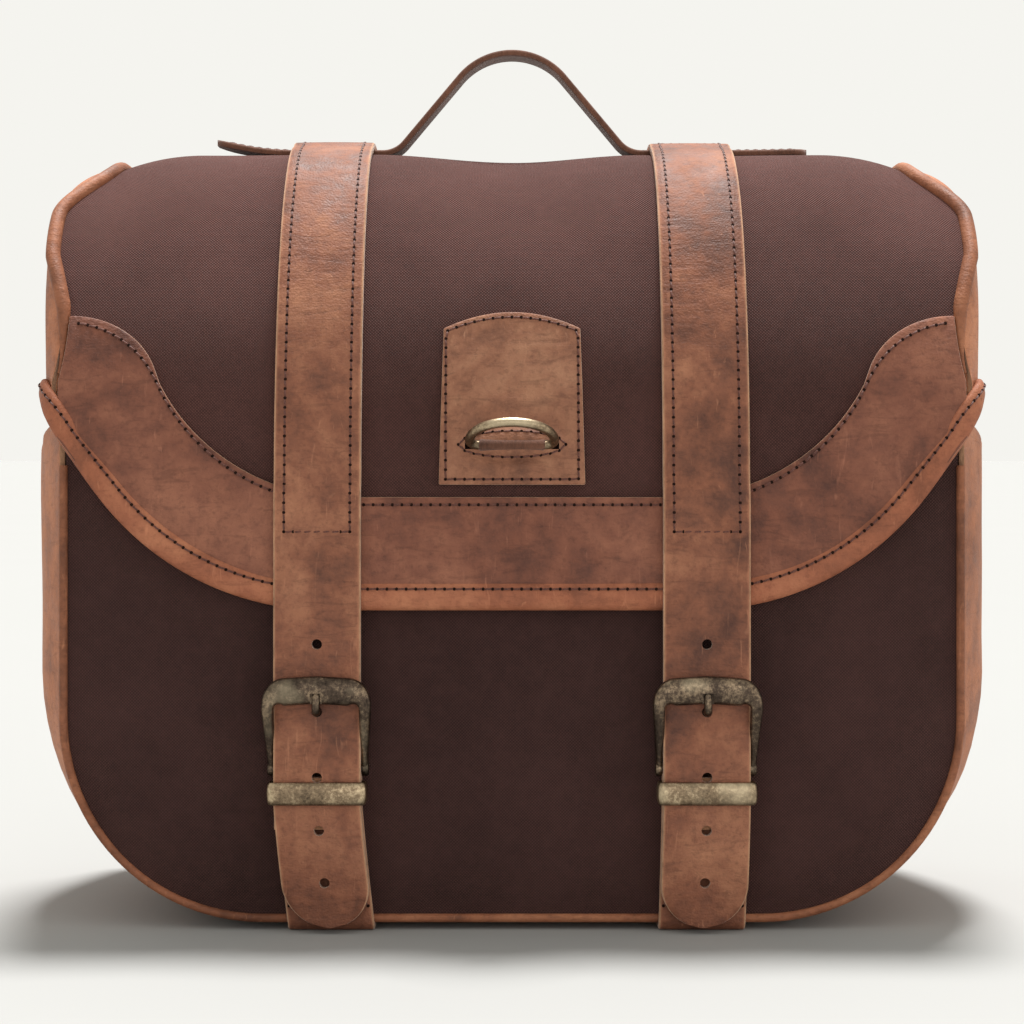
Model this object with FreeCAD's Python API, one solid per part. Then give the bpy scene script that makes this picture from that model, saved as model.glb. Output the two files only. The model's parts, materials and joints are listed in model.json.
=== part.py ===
import FreeCAD, Part
import math
import os

# Saddlebag for a motorcycle: a canvas case with leather gusset, a lid that droops over the front,
# two buckled straps, a hand loop and a D-ring patch. Millimetres. The front faces -Y, +X is to the
# right of someone looking at the front, +Z is up. The bag rests on the two base straps at Z = 0, and
# the origin is at the middle of the footprint of the whole bag.

V = FreeCAD.Vector
SIDES = {"left": -1, "right": 1}

# Case
CASE_DEPTH = 132.0       # front panel face to back panel face
FRONT_REACH = 23.2       # D-ring, the piece that stands furthest in front of the front panel
BACK_REACH = 2.5         # reinforcement plate behind the back panel
SEAM_HALF = 167.0        # half width at the piped seams
BULGE_HALF = 183.0       # half width where the gusset bulges most, half way back
WAIST_HALF = 168.5       # half width of the gusset inside the lid
WAIST_Z = (182.0, 200.0)  # the gusset draws in between these heights
FLAT_HALF = 92.0         # half length of the straight stretch of the bottom edge
CASE_LOW = 2.6           # underside of the case, on top of the base straps
MOUTH_FRONT_Z = 171.0    # the mouth rises steeply behind the front panel, then slopes up to the back
MOUTH_BEND_Z = 203.0
MOUTH_BEND_BACK = 6.0
MOUTH_BACK_Z = 257.0
LEATHER = 2.5
PANEL = 3.0
BOARD = 1.5
BOARD_INSET = 3.0        # the boards stop this far inside the panels
GAP = 0.3                # air between separate soft pieces
SNUG = 0.2               # air between pieces that are sewn or glued face to face
PIPING_R = 1.6
PIPING_GAP = 0.1         # air between a panel and the piping round it
LINING_WALL = 1.0
TALL = 400.0             # higher than anything on the bag

# Lid
LID_CLEAR = 1.0          # air between the front panel and the lid
LID_WALL = 3.0
LID_HALF = 180.0         # half width over the side walls
CREST_Z = 295.0
DROOP_Z = 164.0          # the front of the lid is upright below this height
DROOP_DEPTH = 80.0       # depth of the quarter ellipse from the upright front to the crest
REAR_RADIUS = 22.0
SHOULDER_R = 13.0        # rounding of the lid's side edges
HINGE_Z = 266.0
SIDE_LOW_Z = 194.0       # lower edge of the lid's side walls
FLAP_LOW_Z = 118.0       # lowest point of the flap
FLAP_FLAT = 68.0         # half length of the flap's straight lower edge
FLAP_RADIUS = 104.7
FLAP_END_Z = 199.0
BIND = 6.5               # height of the rolled edge binding
BAND = 2.2               # thickness of the crescent band
BAND_Z = 159.5           # upper edge of the band between the straps
BAND_TOP_Z = 226.0       # upper edge of the band at the side seams
BAND_FLAT = 60.0
BAND_END = 165.0
BAND_LOW_R = 78.0

# Straps and buckles
STRAP_X = 71.0
STRAP_HALF = 16.0
STRAP_IN = 2.6           # the straps lie this far off the lid's face
STRAP = 3.0
SEWN_LOW_Z = 144.0       # the straps are sewn to the lid above this height
TAIL_TIP_Z = 2.5
HOLE_Z = (106.0, 81.4, 57.5, 38.2, 19.0)
HOLE_R = 2.4
PIVOT_Z = 60.0
PIVOT_OUT = 3.3          # the buckle's bar stands this far in front of the front panel
BAR_R = 1.4
KEEPER_Z = (47.6, 56.0)
KEEPER_TRAVEL = 4.0      # how far a keeper slides down
NOTCH_HALF = 2.2         # half width of the openings for a prong
PRONG_HALF = 1.6
PRONG = 2.2
FRAME_TOP_Z = 94.0
WINDOW_TOP_Z = 84.0
FRAME_HALF = 20.0
FRAME_FOOT_HALF = 18.6
WINDOW_HALF = 16.5
BASE_STRAP = 2.2

# Patch and D-ring
PATCH_HALF = 26.0
PATCH_Z = (164.0, 221.0)  # bottom edge and shoulders
PATCH_CROWN = 6.0        # the arched top rises this much above the shoulders
SLOT_HALF = 14.0
SLOT_TALL = 4.0
SLOT_Z = 178.5
RING_R = 15.4            # centre line of the half ring
WIRE_R = 1.6
RING_OUT = 5.0           # the ring's bar stands this far off the lid's face
RING_TILT = 58.0         # degrees that the ring leans forward of upright

# Hand loop
HANDLE_HALF = 7.5        # it lies flat on the crest, just behind the droop
HANDLE = 2.4
HANDLE_FOOT = 52.0       # the arch rises from here
HANDLE_END = 119.0       # tip of the tongue beyond the strap
HANDLE_TOP_Z = 338.0
HANDLE_SLOPE = math.radians(50)
HANDLE_SPLIT = (5.0, 8.6)  # the arch is free above, the ends are held below, from the crest

# Back
PLATE_HALF = 105.0
PLATE_Z = (60.0, 200.0)
EYELET_X = 80.0
EYELET_Z = (90.0, 170.0)
EYELET_HOLE_R = 3.25
EYELET_R = 4.6
FLANGE_R = 7.0
FLANGE = 0.8
PLATE_CORNER = 12.0
HINGE_STRIP = 1.5
HINGE_STRIP_Z = (HINGE_Z - 24, HINGE_Z + 5)

FRONT = (FRONT_REACH - BACK_REACH - CASE_DEPTH) / 2
BACK = FRONT + CASE_DEPTH
MIDDLE = (FRONT + BACK) / 2
LID_FRONT = FRONT - LID_CLEAR - LID_WALL
LID_FACE = (LID_FRONT - 10, LID_FRONT + 30)  # takes in the front of the lid and what lies on it
CREST_Y = LID_FRONT + DROOP_DEPTH
HANDLE_Y = CREST_Y + HANDLE_HALF
PANEL_INSET = 2 * PIPING_R + PIPING_GAP
PANEL_LOW = CASE_LOW + PANEL_INSET
BOARD_LOW = CASE_LOW + LEATHER + GAP
LINING_LOW = BOARD_LOW + PANEL + GAP
LINING_Y = (FRONT + PANEL + BOARD + 2 * GAP, BACK - PANEL - BOARD - 2 * GAP)
TAIL_Y = (LID_FRONT - STRAP_IN - STRAP, LID_FRONT - STRAP_IN)
PIVOT_Y = FRONT - PIVOT_OUT


def box(x, y, z):
    """A block between two corners, each argument a low and high pair."""
    return Part.makeBox(x[1] - x[0], y[1] - y[0], z[1] - z[0], V(x[0], y[0], z[0]))


def line(a, b):
    return Part.LineSegment(a, b).toShape()


def arc(a, b, c):
    return Part.Arc(a, b, c).toShape()


def rod(radius, x, y, z):
    """A cylinder along X between two values of x."""
    return Part.makeCylinder(radius, x[1] - x[0], V(x[0], y, z), V(1, 0, 0))


def pin(radius, x, y, z):
    """A cylinder along Y between two values of y."""
    return Part.makeCylinder(radius, y[1] - y[0], V(x, y[0], z), V(0, 1, 0))


def front_prism(edges, y):
    """A prism with its outline drawn in a plane seen from the front."""
    face = Part.Face(Part.Wire(edges))
    face.translate(V(0, y[0], 0))
    return face.extrude(V(0, y[1] - y[0], 0))


def side_prism(points, x):
    """A prism along X with its outline given as (y, z) points."""
    corners = [V(x[0], y, z) for y, z in points]
    wire = Part.makePolygon(corners + corners[:1])
    return Part.Face(wire).extrude(V(x[1] - x[0], 0, 0))


def mirrored(shape):
    return shape.mirror(V(0, 0, 0), V(1, 0, 0))


def export(name, shape):
    solids = shape.Solids
    if len(solids) == 1:
        shape = solids[0]
    else:
        shape = Part.makeCompound(solids)
    print(f"{name:22} solids {len(solids)}  volume {shape.Volume:10.1f}  valid {shape.isValid()}")
    shape.exportStep(f"parts/{name}.step")


# ---- Case ----

def case_outline(y, half, waist, low):
    """Closed outline of the case at one depth: rounded bottom corners, drawn in to the waist above."""
    radius = half - FLAT_HALF
    corner = radius * math.sqrt(0.5)
    base = V(FLAT_HALF, y, low)
    shoulder = V(half, y, low + radius)
    middle = V(FLAT_HALF + corner, y, low + radius - corner)
    right = [base, shoulder, V(half, y, WAIST_Z[0]), V(waist, y, WAIST_Z[1]), V(waist, y, TALL)]
    left = [V(-p.x, p.y, p.z) for p in right]
    edges = [line(left[0], right[0]), arc(right[0], middle, right[1])]
    edges += [line(right[i], right[i + 1]) for i in range(1, 4)]
    edges.append(line(right[4], left[4]))
    edges += [line(left[i + 1], left[i]) for i in (3, 2, 1)]
    edges.append(arc(left[1], V(-middle.x, y, middle.z), left[0]))
    return Part.Wire(edges)


def case_block(inset, low, y):
    """The bulging block of the case, lofted from seam to bulge to seam."""
    seam = SEAM_HALF - inset
    bulge = BULGE_HALF - inset
    waist = WAIST_HALF - inset
    sections = [
        case_outline(y[0], seam, seam, low),
        case_outline(MIDDLE, bulge, waist, low),
        case_outline(y[1], seam, seam, low),
    ]
    return Part.makeLoft(sections, True, False)


def above_mouth(rise=0.0):
    """Everything over the sloping mouth of the case, or over a surface that far above it."""
    margin = 30.0
    bend = (FRONT + MOUTH_BEND_BACK, MOUTH_BEND_Z + rise)
    chin = (FRONT, MOUTH_FRONT_Z + rise)
    back = (BACK, MOUTH_BACK_Z + rise)
    before = (FRONT - margin, chin[1])
    beyond = (BACK + margin, back[1])
    points = [before, chin, bend, back, beyond, (beyond[0], 2 * TALL), (before[0], 2 * TALL)]
    return side_prism(points, (-TALL, TALL))


def flat_panel(inset, y, low=PANEL_LOW):
    """A flat panel inside the seam."""
    edges = case_outline(0, SEAM_HALF - inset, SEAM_HALF - inset, low).Edges
    return front_prism(edges, y)


def gusset():
    outer = case_block(0, CASE_LOW, (FRONT + PANEL + GAP, BACK - PANEL - GAP))
    inner = case_block(LEATHER, CASE_LOW + LEATHER, (FRONT, BACK))
    return outer.cut(inner).cut(above_mouth())


def front_panel():
    return flat_panel(PANEL_INSET, (FRONT, FRONT + PANEL)).cut(above_mouth())


def above(z):
    """Everything above a height."""
    return box((-TALL, TALL), (-TALL, TALL), (z, 2 * TALL))


def eyelet_places():
    return [(side * EYELET_X, z) for side in SIDES.values() for z in EYELET_Z]


def with_eyelet_holes(shape):
    reach = 40.0
    for x, z in eyelet_places():
        shape = shape.cut(pin(EYELET_R, x, (BACK - reach, BACK + reach), z))
    return shape


def back_panel():
    panel = flat_panel(PANEL_INSET, (BACK - PANEL, BACK))
    return with_eyelet_holes(panel.cut(above(HINGE_Z - 1)))


def seam_piping(y):
    """A round cord in the seam, down one side, along the bottom and up the other."""
    half = SEAM_HALF - PIPING_R
    path = case_outline(y, half, half, CASE_LOW + PIPING_R)
    edges = [e for e in path.Edges if e.BoundBox.ZMax <= WAIST_Z[0] + 1]
    wire = Part.Wire(Part.__sortEdges__(edges))
    start = wire.OrderedVertexes[0].Point
    profile = Part.Wire(Part.makeCircle(PIPING_R, start, V(0, 0, 1)))
    return wire.makePipeShell([profile], True, True)


def stiffener(y, low, top=None):
    board = flat_panel(2 * PIPING_R + BOARD_INSET, y, low)
    return board.cut(above_mouth() if top is None else above(top))


def base_board():
    """A board under the lining, on the flat stretch of the bottom."""
    half = FLAT_HALF - 4
    depth = (LINING_Y[0] + 1, LINING_Y[1] - 1)
    return box((-half, half), depth, (BOARD_LOW, BOARD_LOW + PANEL))


def lining():
    """A bag of thin cloth inside the case, open at the mouth."""
    wall = LINING_WALL
    outer = case_block(LEATHER + GAP, LINING_LOW, LINING_Y)
    inner = case_block(LEATHER + GAP + wall, LINING_LOW + wall, (LINING_Y[0] + wall, LINING_Y[1] - wall))
    return with_eyelet_holes(outer.cut(inner).cut(above_mouth()))


def rim_binding():
    """A tape folded over the top edge of the case and its lining."""
    height = 3.0
    tape = 0.7
    inside = LINING_WALL + tape
    outer = case_block(0, CASE_LOW, (FRONT, BACK - PANEL - GAP))
    inner = case_block(LEATHER + GAP + inside, CASE_LOW, (LINING_Y[0] + inside, LINING_Y[1] - inside))
    return outer.cut(inner).common(above_mouth(SNUG)).cut(above_mouth(SNUG + height))


def base_strap(side):
    """The strap that runs on under the bag, which rests on it."""
    x = side * STRAP_X
    end = BACK - 10
    return box((x - STRAP_HALF, x + STRAP_HALF), (FRONT - BASE_STRAP - GAP, end), (0, BASE_STRAP))


# ---- Lid ----

def lid_profile(offset, x, low):
    """Closed side outline of the lid at one x: upright front, quarter ellipse, crest, rounded back."""
    depth = DROOP_DEPTH + offset
    rise = CREST_Z - DROOP_Z + offset
    rear = BACK + offset
    radius = REAR_RADIUS + offset
    corner = radius * math.sqrt(0.5)
    top = CREST_Z + offset
    centre = V(x, CREST_Y, DROOP_Z)
    crest = V(x, CREST_Y, top)
    chin = V(x, CREST_Y - depth, DROOP_Z)
    ellipse = Part.Ellipse(crest, chin, centre)
    droop = Part.ArcOfEllipse(ellipse, 0, math.pi / 2).toShape()
    rear_start = V(x, rear - radius, top)
    rear_mid = V(x, rear - radius + corner, top - radius + corner)
    rear_end = V(x, rear, top - radius)
    foot_front = V(x, chin.y, low)
    foot_rear = V(x, rear, low)
    return [
        line(foot_front, chin),
        droop,
        line(crest, rear_start),
        arc(rear_start, rear_mid, rear_end),
        line(rear_end, foot_rear),
        line(foot_rear, foot_front),
    ]


def lid_block(offset):
    """The lid's outer form, offset outwards, with its side edges rounded."""
    half = LID_HALF + offset
    low = FLAP_LOW_Z - 2 * SHOULDER_R
    face = Part.Face(Part.Wire(lid_profile(offset, -half, low)))
    block = face.extrude(V(2 * half, 0, 0))
    ends = []
    for edge in block.Edges:
        bounds = edge.BoundBox
        at_side = bounds.XLength < 0.01 and abs(abs(bounds.XMax) - half) < 0.01
        if at_side and bounds.ZMax > low + 1:
            ends.append(edge)
    return block.makeFillet(SHOULDER_R + offset, ends)


def lid_shell(outside, inside):
    return lid_block(outside).cut(lid_block(inside))


def flap_outline(rise):
    """The front view of the flap above its lower edge, or above a line that far inside it."""
    radius = FLAP_RADIUS - rise
    low = FLAP_LOW_Z + rise
    centre_z = FLAP_LOW_Z + FLAP_RADIUS
    end = math.asin((centre_z - FLAP_END_Z) / radius)
    half = end + (math.pi / 2 - end) / 2
    tip = V(FLAP_FLAT + radius * math.cos(end), 0, FLAP_END_Z)
    middle = V(FLAP_FLAT + radius * math.cos(half), 0, centre_z - radius * math.sin(half))
    right = [V(FLAP_FLAT, 0, low), middle, tip, V(tip.x, 0, TALL)]
    left = [V(-p.x, 0, p.z) for p in right]
    return [
        line(left[0], right[0]),
        arc(right[0], right[1], right[2]),
        line(right[2], right[3]),
        line(right[3], left[3]),
        line(left[3], left[2]),
        arc(left[2], left[1], left[0]),
    ]


def lid_zone(rise):
    """The space that the lid takes up, above its lower edge or a line that far inside it."""
    margin = 12.0
    flap = front_prism(flap_outline(rise), (LID_FRONT - margin, LID_FRONT + margin))
    upper = box((-TALL, TALL), (LID_FRONT - margin, BACK + margin), (SIDE_LOW_Z + rise, TALL))
    behind = box((-TALL, TALL), (BACK - margin, BACK + margin), (0, HINGE_Z))
    return flap.fuse(upper).cut(behind)


def between_seams():
    return box((-SEAM_HALF, SEAM_HALF), (-TALL, TALL), (0, TALL))


def lid_piping():
    """Piping on the right-hand seam of the lid, from the band over the crest to the hinge."""
    proud = 0.4
    foot = 209.0
    rear_foot = HINGE_Z + 6
    edges = lid_profile(proud, SEAM_HALF, FLAP_LOW_Z)[:5]
    wire = Part.Wire(edges)
    start = wire.OrderedVertexes[0].Point
    profile = Part.Wire(Part.makeCircle(PIPING_R, start, V(0, 0, 1)))
    cord = wire.makePipeShell([profile], True, True)
    cord = cord.cut(box((0, TALL), (-TALL, MIDDLE), (0, foot)))
    return cord.cut(box((0, TALL), (MIDDLE, TALL), (0, rear_foot)))


def band_outline():
    """The crescent band's front view: level between the straps, swept up to the side seams."""
    run = BAND_END - BAND_FLAT
    climb = BAND_TOP_Z - BAND_Z
    turn = 2 * math.atan2(climb, run)
    upper_r = run / math.sin(turn) - BAND_LOW_R
    join = V(BAND_FLAT + BAND_LOW_R * math.sin(turn), 0, BAND_Z + BAND_LOW_R * (1 - math.cos(turn)))
    lower_mid = V(
        BAND_FLAT + BAND_LOW_R * math.sin(turn / 2), 0, BAND_Z + BAND_LOW_R * (1 - math.cos(turn / 2)))
    upper_mid = V(
        BAND_END - upper_r * math.sin(turn / 2), 0, BAND_TOP_Z - upper_r * (1 - math.cos(turn / 2)))
    edge_x = SEAM_HALF + 5
    foot_z = FLAP_LOW_Z - 5
    right = [V(BAND_FLAT, 0, BAND_Z), lower_mid, join, upper_mid, V(BAND_END, 0, BAND_TOP_Z),
             V(edge_x, 0, BAND_TOP_Z), V(edge_x, 0, foot_z)]
    left = [V(-p.x, 0, p.z) for p in right]
    return [
        line(left[0], right[0]),
        arc(right[0], right[1], right[2]),
        arc(right[2], right[3], right[4]),
        line(right[4], right[5]),
        line(right[5], right[6]),
        line(right[6], left[6]),
        line(left[6], left[5]),
        line(left[5], left[4]),
        arc(left[4], left[3], left[2]),
        arc(left[2], left[1], left[0]),
    ]


def lid_band(zone):
    front = front_prism(band_outline(), LID_FACE)
    return lid_shell(BAND, 0).common(front).common(zone).common(between_seams())


def lid_edge_binding(zone):
    """The rolled leather edge, thicker over the band at the front than along the sides."""
    edge = lid_zone(0).cut(zone)
    fold = 0.8
    inside = -LID_WALL - SNUG
    at_front = box((-TALL, TALL), (-TALL, LID_FRONT + 6), (0, TALL))
    front = lid_shell(BAND + SNUG, inside).common(at_front)
    sides = lid_shell(fold, inside)
    return front.fuse(sides).common(edge).removeSplitter()


def lid_stiffener():
    """A board under the top of the lid, bent over the front."""
    half = SEAM_HALF - 10
    foot = 222.0
    board = 1.6
    outside = -LID_WALL - SNUG
    top = box((-half, half), (-TALL, BACK - REAR_RADIUS), (foot, TALL))
    return lid_shell(outside, outside - board).common(top)


def hinge_strip():
    """Leather along the back that joins the lid to the case."""
    half = SEAM_HALF - 4
    inside = BACK + SNUG
    return box((-half, half), (inside, inside + HINGE_STRIP), HINGE_STRIP_Z)


# ---- Straps, buckles ----

def strap(side):
    """The part of a strap that is sewn to the lid."""
    x = side * STRAP_X
    run = box((x - STRAP_HALF, x + STRAP_HALF), (-TALL, BACK - REAR_RADIUS), (SEWN_LOW_Z, TALL))
    return lid_shell(STRAP_IN + STRAP, STRAP_IN).common(run)


def strap_tail(side):
    """The free end of a strap, with a round tip and punched holes."""
    x = side * STRAP_X
    round_z = TAIL_TIP_Z + STRAP_HALF
    tail = box((x - STRAP_HALF, x + STRAP_HALF), TAIL_Y, (round_z, SEWN_LOW_Z - GAP))
    tail = tail.fuse(pin(STRAP_HALF, x, TAIL_Y, round_z)).removeSplitter()
    for z in HOLE_Z:
        tail = tail.cut(pin(HOLE_R, x, (TAIL_Y[0] - 1, TAIL_Y[1] + 1), z))
    return tail


def billet(side):
    """The leather below a tail. Its top is folded over the buckle's bar and holds the keeper."""
    x = side * STRAP_X
    sides = (x - STRAP_HALF, x + STRAP_HALF)
    fold_r = 3.0
    face = PIVOT_Y - fold_r
    fold_low = KEEPER_Z[0] - 9.6
    single = FRONT - GAP
    strip = box(sides, (single - BASE_STRAP, single), (BASE_STRAP + SNUG, PIVOT_Z))
    fold = box(sides, (face, single), (fold_low, PIVOT_Z))
    body = strip.fuse(fold).fuse(rod(fold_r, sides, PIVOT_Y, PIVOT_Z)).removeSplitter()
    bore = rod(BAR_R + GAP, sides, PIVOT_Y, PIVOT_Z)
    pocket_y = (FRONT - 4.1, single - BASE_STRAP)
    pocket = box(sides, pocket_y, (KEEPER_Z[0] - KEEPER_TRAVEL - 0.6, KEEPER_Z[1] + 0.8))
    slit = box((x - NOTCH_HALF, x + NOTCH_HALF), (face - 1, FRONT), (PIVOT_Z - fold_r - SNUG, PIVOT_Z + 5))
    return body.cut(bore).cut(pocket).cut(slit)


def frame_outline(x):
    """Front view of a buckle frame, tapered towards its foot, with round shoulders."""
    radius = 8.0
    corner = radius * math.sqrt(0.5)
    shoulder_z = FRAME_TOP_Z - radius
    foot_z = PIVOT_Z - 4
    inner = FRAME_HALF - radius
    right = [V(inner, 0, FRAME_TOP_Z), V(inner + corner, 0, shoulder_z + corner),
             V(FRAME_HALF, 0, shoulder_z), V(FRAME_FOOT_HALF, 0, foot_z)]
    left = [V(-p.x, 0, p.z) for p in right]
    edges = [
        line(left[0], right[0]),
        arc(right[0], right[1], right[2]),
        line(right[2], right[3]),
        line(right[3], left[3]),
        line(left[3], left[2]),
        arc(left[2], left[1], left[0]),
    ]
    for edge in edges:
        edge.translate(V(x, 0, 0))
    return edges


def buckle_frame(side):
    """Cast frame: rails that slope forward from the bar, and a thick top bar in front of the tail."""
    x = side * STRAP_X
    sides = (x - FRAME_HALF, x + FRAME_HALF)
    depth = 4.0
    boss_r = 2.7
    crown = TAIL_Y[0] - 0.6
    face = crown - depth
    bend_z = WINDOW_TOP_Z - 2
    lean = math.atan2(PIVOT_Y - crown + depth / 2, bend_z - PIVOT_Z)
    across = depth / 2 * math.cos(lean)
    along = depth / 2 * math.sin(lean)
    profile = [
        (PIVOT_Y - across, PIVOT_Z - along),
        (face, bend_z),
        (face, FRAME_TOP_Z),
        (crown, FRAME_TOP_Z),
        (crown, bend_z + 1),
        (PIVOT_Y + across, PIVOT_Z + along),
    ]
    body = side_prism(profile, sides).fuse(rod(boss_r, sides, PIVOT_Y, PIVOT_Z))
    body = body.common(front_prism(frame_outline(x), (-TALL, 0)))
    window = box((x - WINDOW_HALF, x + WINDOW_HALF), (-TALL, 0), (0, WINDOW_TOP_Z))
    notch_z = (WINDOW_TOP_Z - 1, WINDOW_TOP_Z + 4.5)
    notch = box((x - NOTCH_HALF, x + NOTCH_HALF), (face - 1, face + 1.2), notch_z)
    bar = rod(BAR_R, (x - WINDOW_HALF - 1, x + WINDOW_HALF + 1), PIVOT_Y, PIVOT_Z)
    return body.cut(window).cut(notch).fuse(bar).removeSplitter()


def prong(side):
    """The tongue: up behind the tail, out through the hole, its tip in the frame's notch."""
    x = side * STRAP_X
    sides = (x - PRONG_HALF, x + PRONG_HALF)
    eye_r = 2.6
    half = 1.2
    through_z = HOLE_Z[1]
    tip_z = WINDOW_TOP_Z + 3.8
    behind = FRONT - 3.7
    before = FRONT - 13.2
    profile = [
        (behind, PIVOT_Z),
        (behind - PRONG, PIVOT_Z),
        (behind - PRONG, through_z - half),
        (before - PRONG, through_z - half),
        (before - PRONG, tip_z),
        (before, tip_z),
        (before, through_z + half),
        (behind, through_z + half),
    ]
    stem = side_prism(profile, sides)
    eye = rod(eye_r, sides, PIVOT_Y, PIVOT_Z)
    bore = rod(BAR_R + 0.1, sides, PIVOT_Y, PIVOT_Z)
    return stem.fuse(eye).cut(bore).removeSplitter()


def keeper(side):
    """A flat metal loop round the billet's front layer and the tail."""
    x = side * STRAP_X
    metal = 2.2
    front = TAIL_Y[0] - 0.4
    behind = (FRONT - 3.9, FRONT - 2.7)
    half = STRAP_HALF + 0.5
    outer = box((x - FRAME_FOOT_HALF, x + FRAME_FOOT_HALF), (front - metal, behind[1]), KEEPER_Z)
    inner = box((x - half, x + half), (front, behind[0]), (0, TALL))
    return outer.cut(inner)


# ---- Patch, D-ring ----

def lid_face_y(z):
    """Where the lid's face lies at a height."""
    part = (z - DROOP_Z) / (CREST_Z - DROOP_Z)
    return CREST_Y - DROOP_DEPTH * math.sqrt(1 - part * part)


def ring_y():
    """Where the D-ring's bar lies."""
    return lid_face_y(SLOT_Z) - RING_OUT


def patch():
    """A leather patch with an arched top and a slot for the ring's tab."""
    low, shoulder = PATCH_Z
    edges = [
        line(V(-PATCH_HALF, 0, low), V(PATCH_HALF, 0, low)),
        line(V(PATCH_HALF, 0, low), V(PATCH_HALF, 0, shoulder)),
        arc(V(PATCH_HALF, 0, shoulder), V(0, 0, shoulder + PATCH_CROWN), V(-PATCH_HALF, 0, shoulder)),
        line(V(-PATCH_HALF, 0, shoulder), V(-PATCH_HALF, 0, low)),
    ]
    sheet = lid_shell(BAND, 0).common(front_prism(edges, LID_FACE))
    slot = box((-SLOT_HALF, SLOT_HALF), (-TALL, 0), (SLOT_Z - SLOT_TALL / 2, SLOT_Z + SLOT_TALL / 2))
    return sheet.cut(slot)


def d_ring_tab():
    """Leather folded round the ring's bar, held behind the slot."""
    width = (1 - SLOT_HALF, SLOT_HALF - 1)
    layer = 1.0
    neck_half = SLOT_TALL / 2 - GAP
    y = ring_y()
    sleeve = rod(WIRE_R + layer, width, y, SLOT_Z)
    neck = box(width, (y, lid_face_y(SLOT_Z - SLOT_TALL / 2)), (SLOT_Z - neck_half, SLOT_Z + neck_half))
    bore = rod(WIRE_R + 0.1, width, y, SLOT_Z)
    return sleeve.fuse(neck).cut(bore).cut(lid_block(0)).removeSplitter()


def d_ring():
    """A half ring on a straight bar."""
    bow = Part.makeTorus(RING_R, WIRE_R, V(0, 0, 0), V(0, 0, 1), 0, 360, 180)
    bar = rod(WIRE_R, (-RING_R, RING_R), 0, 0)
    ends = [Part.makeSphere(WIRE_R, V(side * RING_R, 0, 0)) for side in SIDES.values()]
    ring = bow.fuse(bar).fuse(ends[0]).fuse(ends[1])
    ring.rotate(V(0, 0, 0), V(1, 0, 0), 90 + RING_TILT)
    ring.translate(V(0, ring_y(), SLOT_Z))
    return ring


# ---- Hand loop ----

def hand_loop():
    """The whole strap of the handle: flat ends and a bell-shaped arch between them."""
    low = CREST_Z + 0.1 + HANDLE / 2
    high = HANDLE_TOP_Z - HANDLE / 2
    rise = high - low
    sine = math.sin(HANDLE_SLOPE)
    cosine = math.cos(HANDLE_SLOPE)
    # The two radii together, from the arch's half width and rise with a straight flank between them.
    radii = (HANDLE_FOOT * sine - rise * cosine) / (1 - cosine)
    foot_r = 0.3 * radii
    top_r = radii - foot_r
    y = HANDLE_Y

    def foot_point(turn):
        return V(HANDLE_FOOT - foot_r * math.sin(turn), y, low + foot_r * (1 - math.cos(turn)))

    def top_point(turn):
        return V(top_r * math.sin(turn), y, high - top_r * (1 - math.cos(turn)))

    def opposite(point):
        return V(-point.x, point.y, point.z)

    right = [V(HANDLE_END, y, low), foot_point(0), foot_point(HANDLE_SLOPE / 2), foot_point(HANDLE_SLOPE),
             top_point(HANDLE_SLOPE)]
    left = [opposite(p) for p in right]
    edges = [
        line(right[0], right[1]),
        arc(right[1], right[2], right[3]),
        line(right[3], right[4]),
        arc(right[4], V(0, y, high), left[4]),
        line(left[4], left[3]),
        arc(left[3], left[2], left[1]),
        line(left[1], left[0]),
    ]
    corners = [(-HANDLE_HALF, -HANDLE / 2), (HANDLE_HALF, -HANDLE / 2),
               (HANDLE_HALF, HANDLE / 2), (-HANDLE_HALF, HANDLE / 2)]
    section = [V(HANDLE_END, y + dy, low + dz) for dy, dz in corners]
    profile = Part.makePolygon(section + section[:1])
    return Part.Wire(edges).makePipeShell([profile], True, True)


def handle_parts():
    loop = hand_loop()
    arch = loop.cut(box((-TALL, TALL), (-TALL, TALL), (0, CREST_Z + HANDLE_SPLIT[1])))
    held = loop.cut(box((-TALL, TALL), (-TALL, TALL), (CREST_Z + HANDLE_SPLIT[0], TALL)))
    right = held.common(box((0, TALL), (-TALL, TALL), (0, TALL)))
    return arch, right


# ---- Back ----

def back_reinforcement():
    plate = box((-PLATE_HALF, PLATE_HALF), (BACK, BACK + LEATHER), PLATE_Z)
    upright = [e for e in plate.Edges if e.BoundBox.YLength > LEATHER / 2]
    plate = with_eyelet_holes(plate.makeFillet(PLATE_CORNER, upright))
    for x, z in eyelet_places():
        plate = plate.cut(pin(FLANGE_R, x, (BACK + LEATHER - FLANGE, BACK + LEATHER + 1), z))
    return plate


def eyelets():
    """Four riveted tubes through the back, with a flange on each side, the outer one let in flush."""
    inside = LINING_Y[1] - LINING_WALL
    outside = BACK + LEATHER
    solids = []
    for x, z in eyelet_places():
        tube = pin(EYELET_R, x, (inside, outside), z)
        tube = tube.fuse(pin(FLANGE_R, x, (outside - FLANGE, outside), z))
        tube = tube.fuse(pin(FLANGE_R, x, (inside - FLANGE, inside), z))
        tube = tube.cut(pin(EYELET_HOLE_R, x, (inside - TALL, outside + TALL), z))
        solids.append(tube.removeSplitter())
    return Part.makeCompound(solids)


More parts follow.
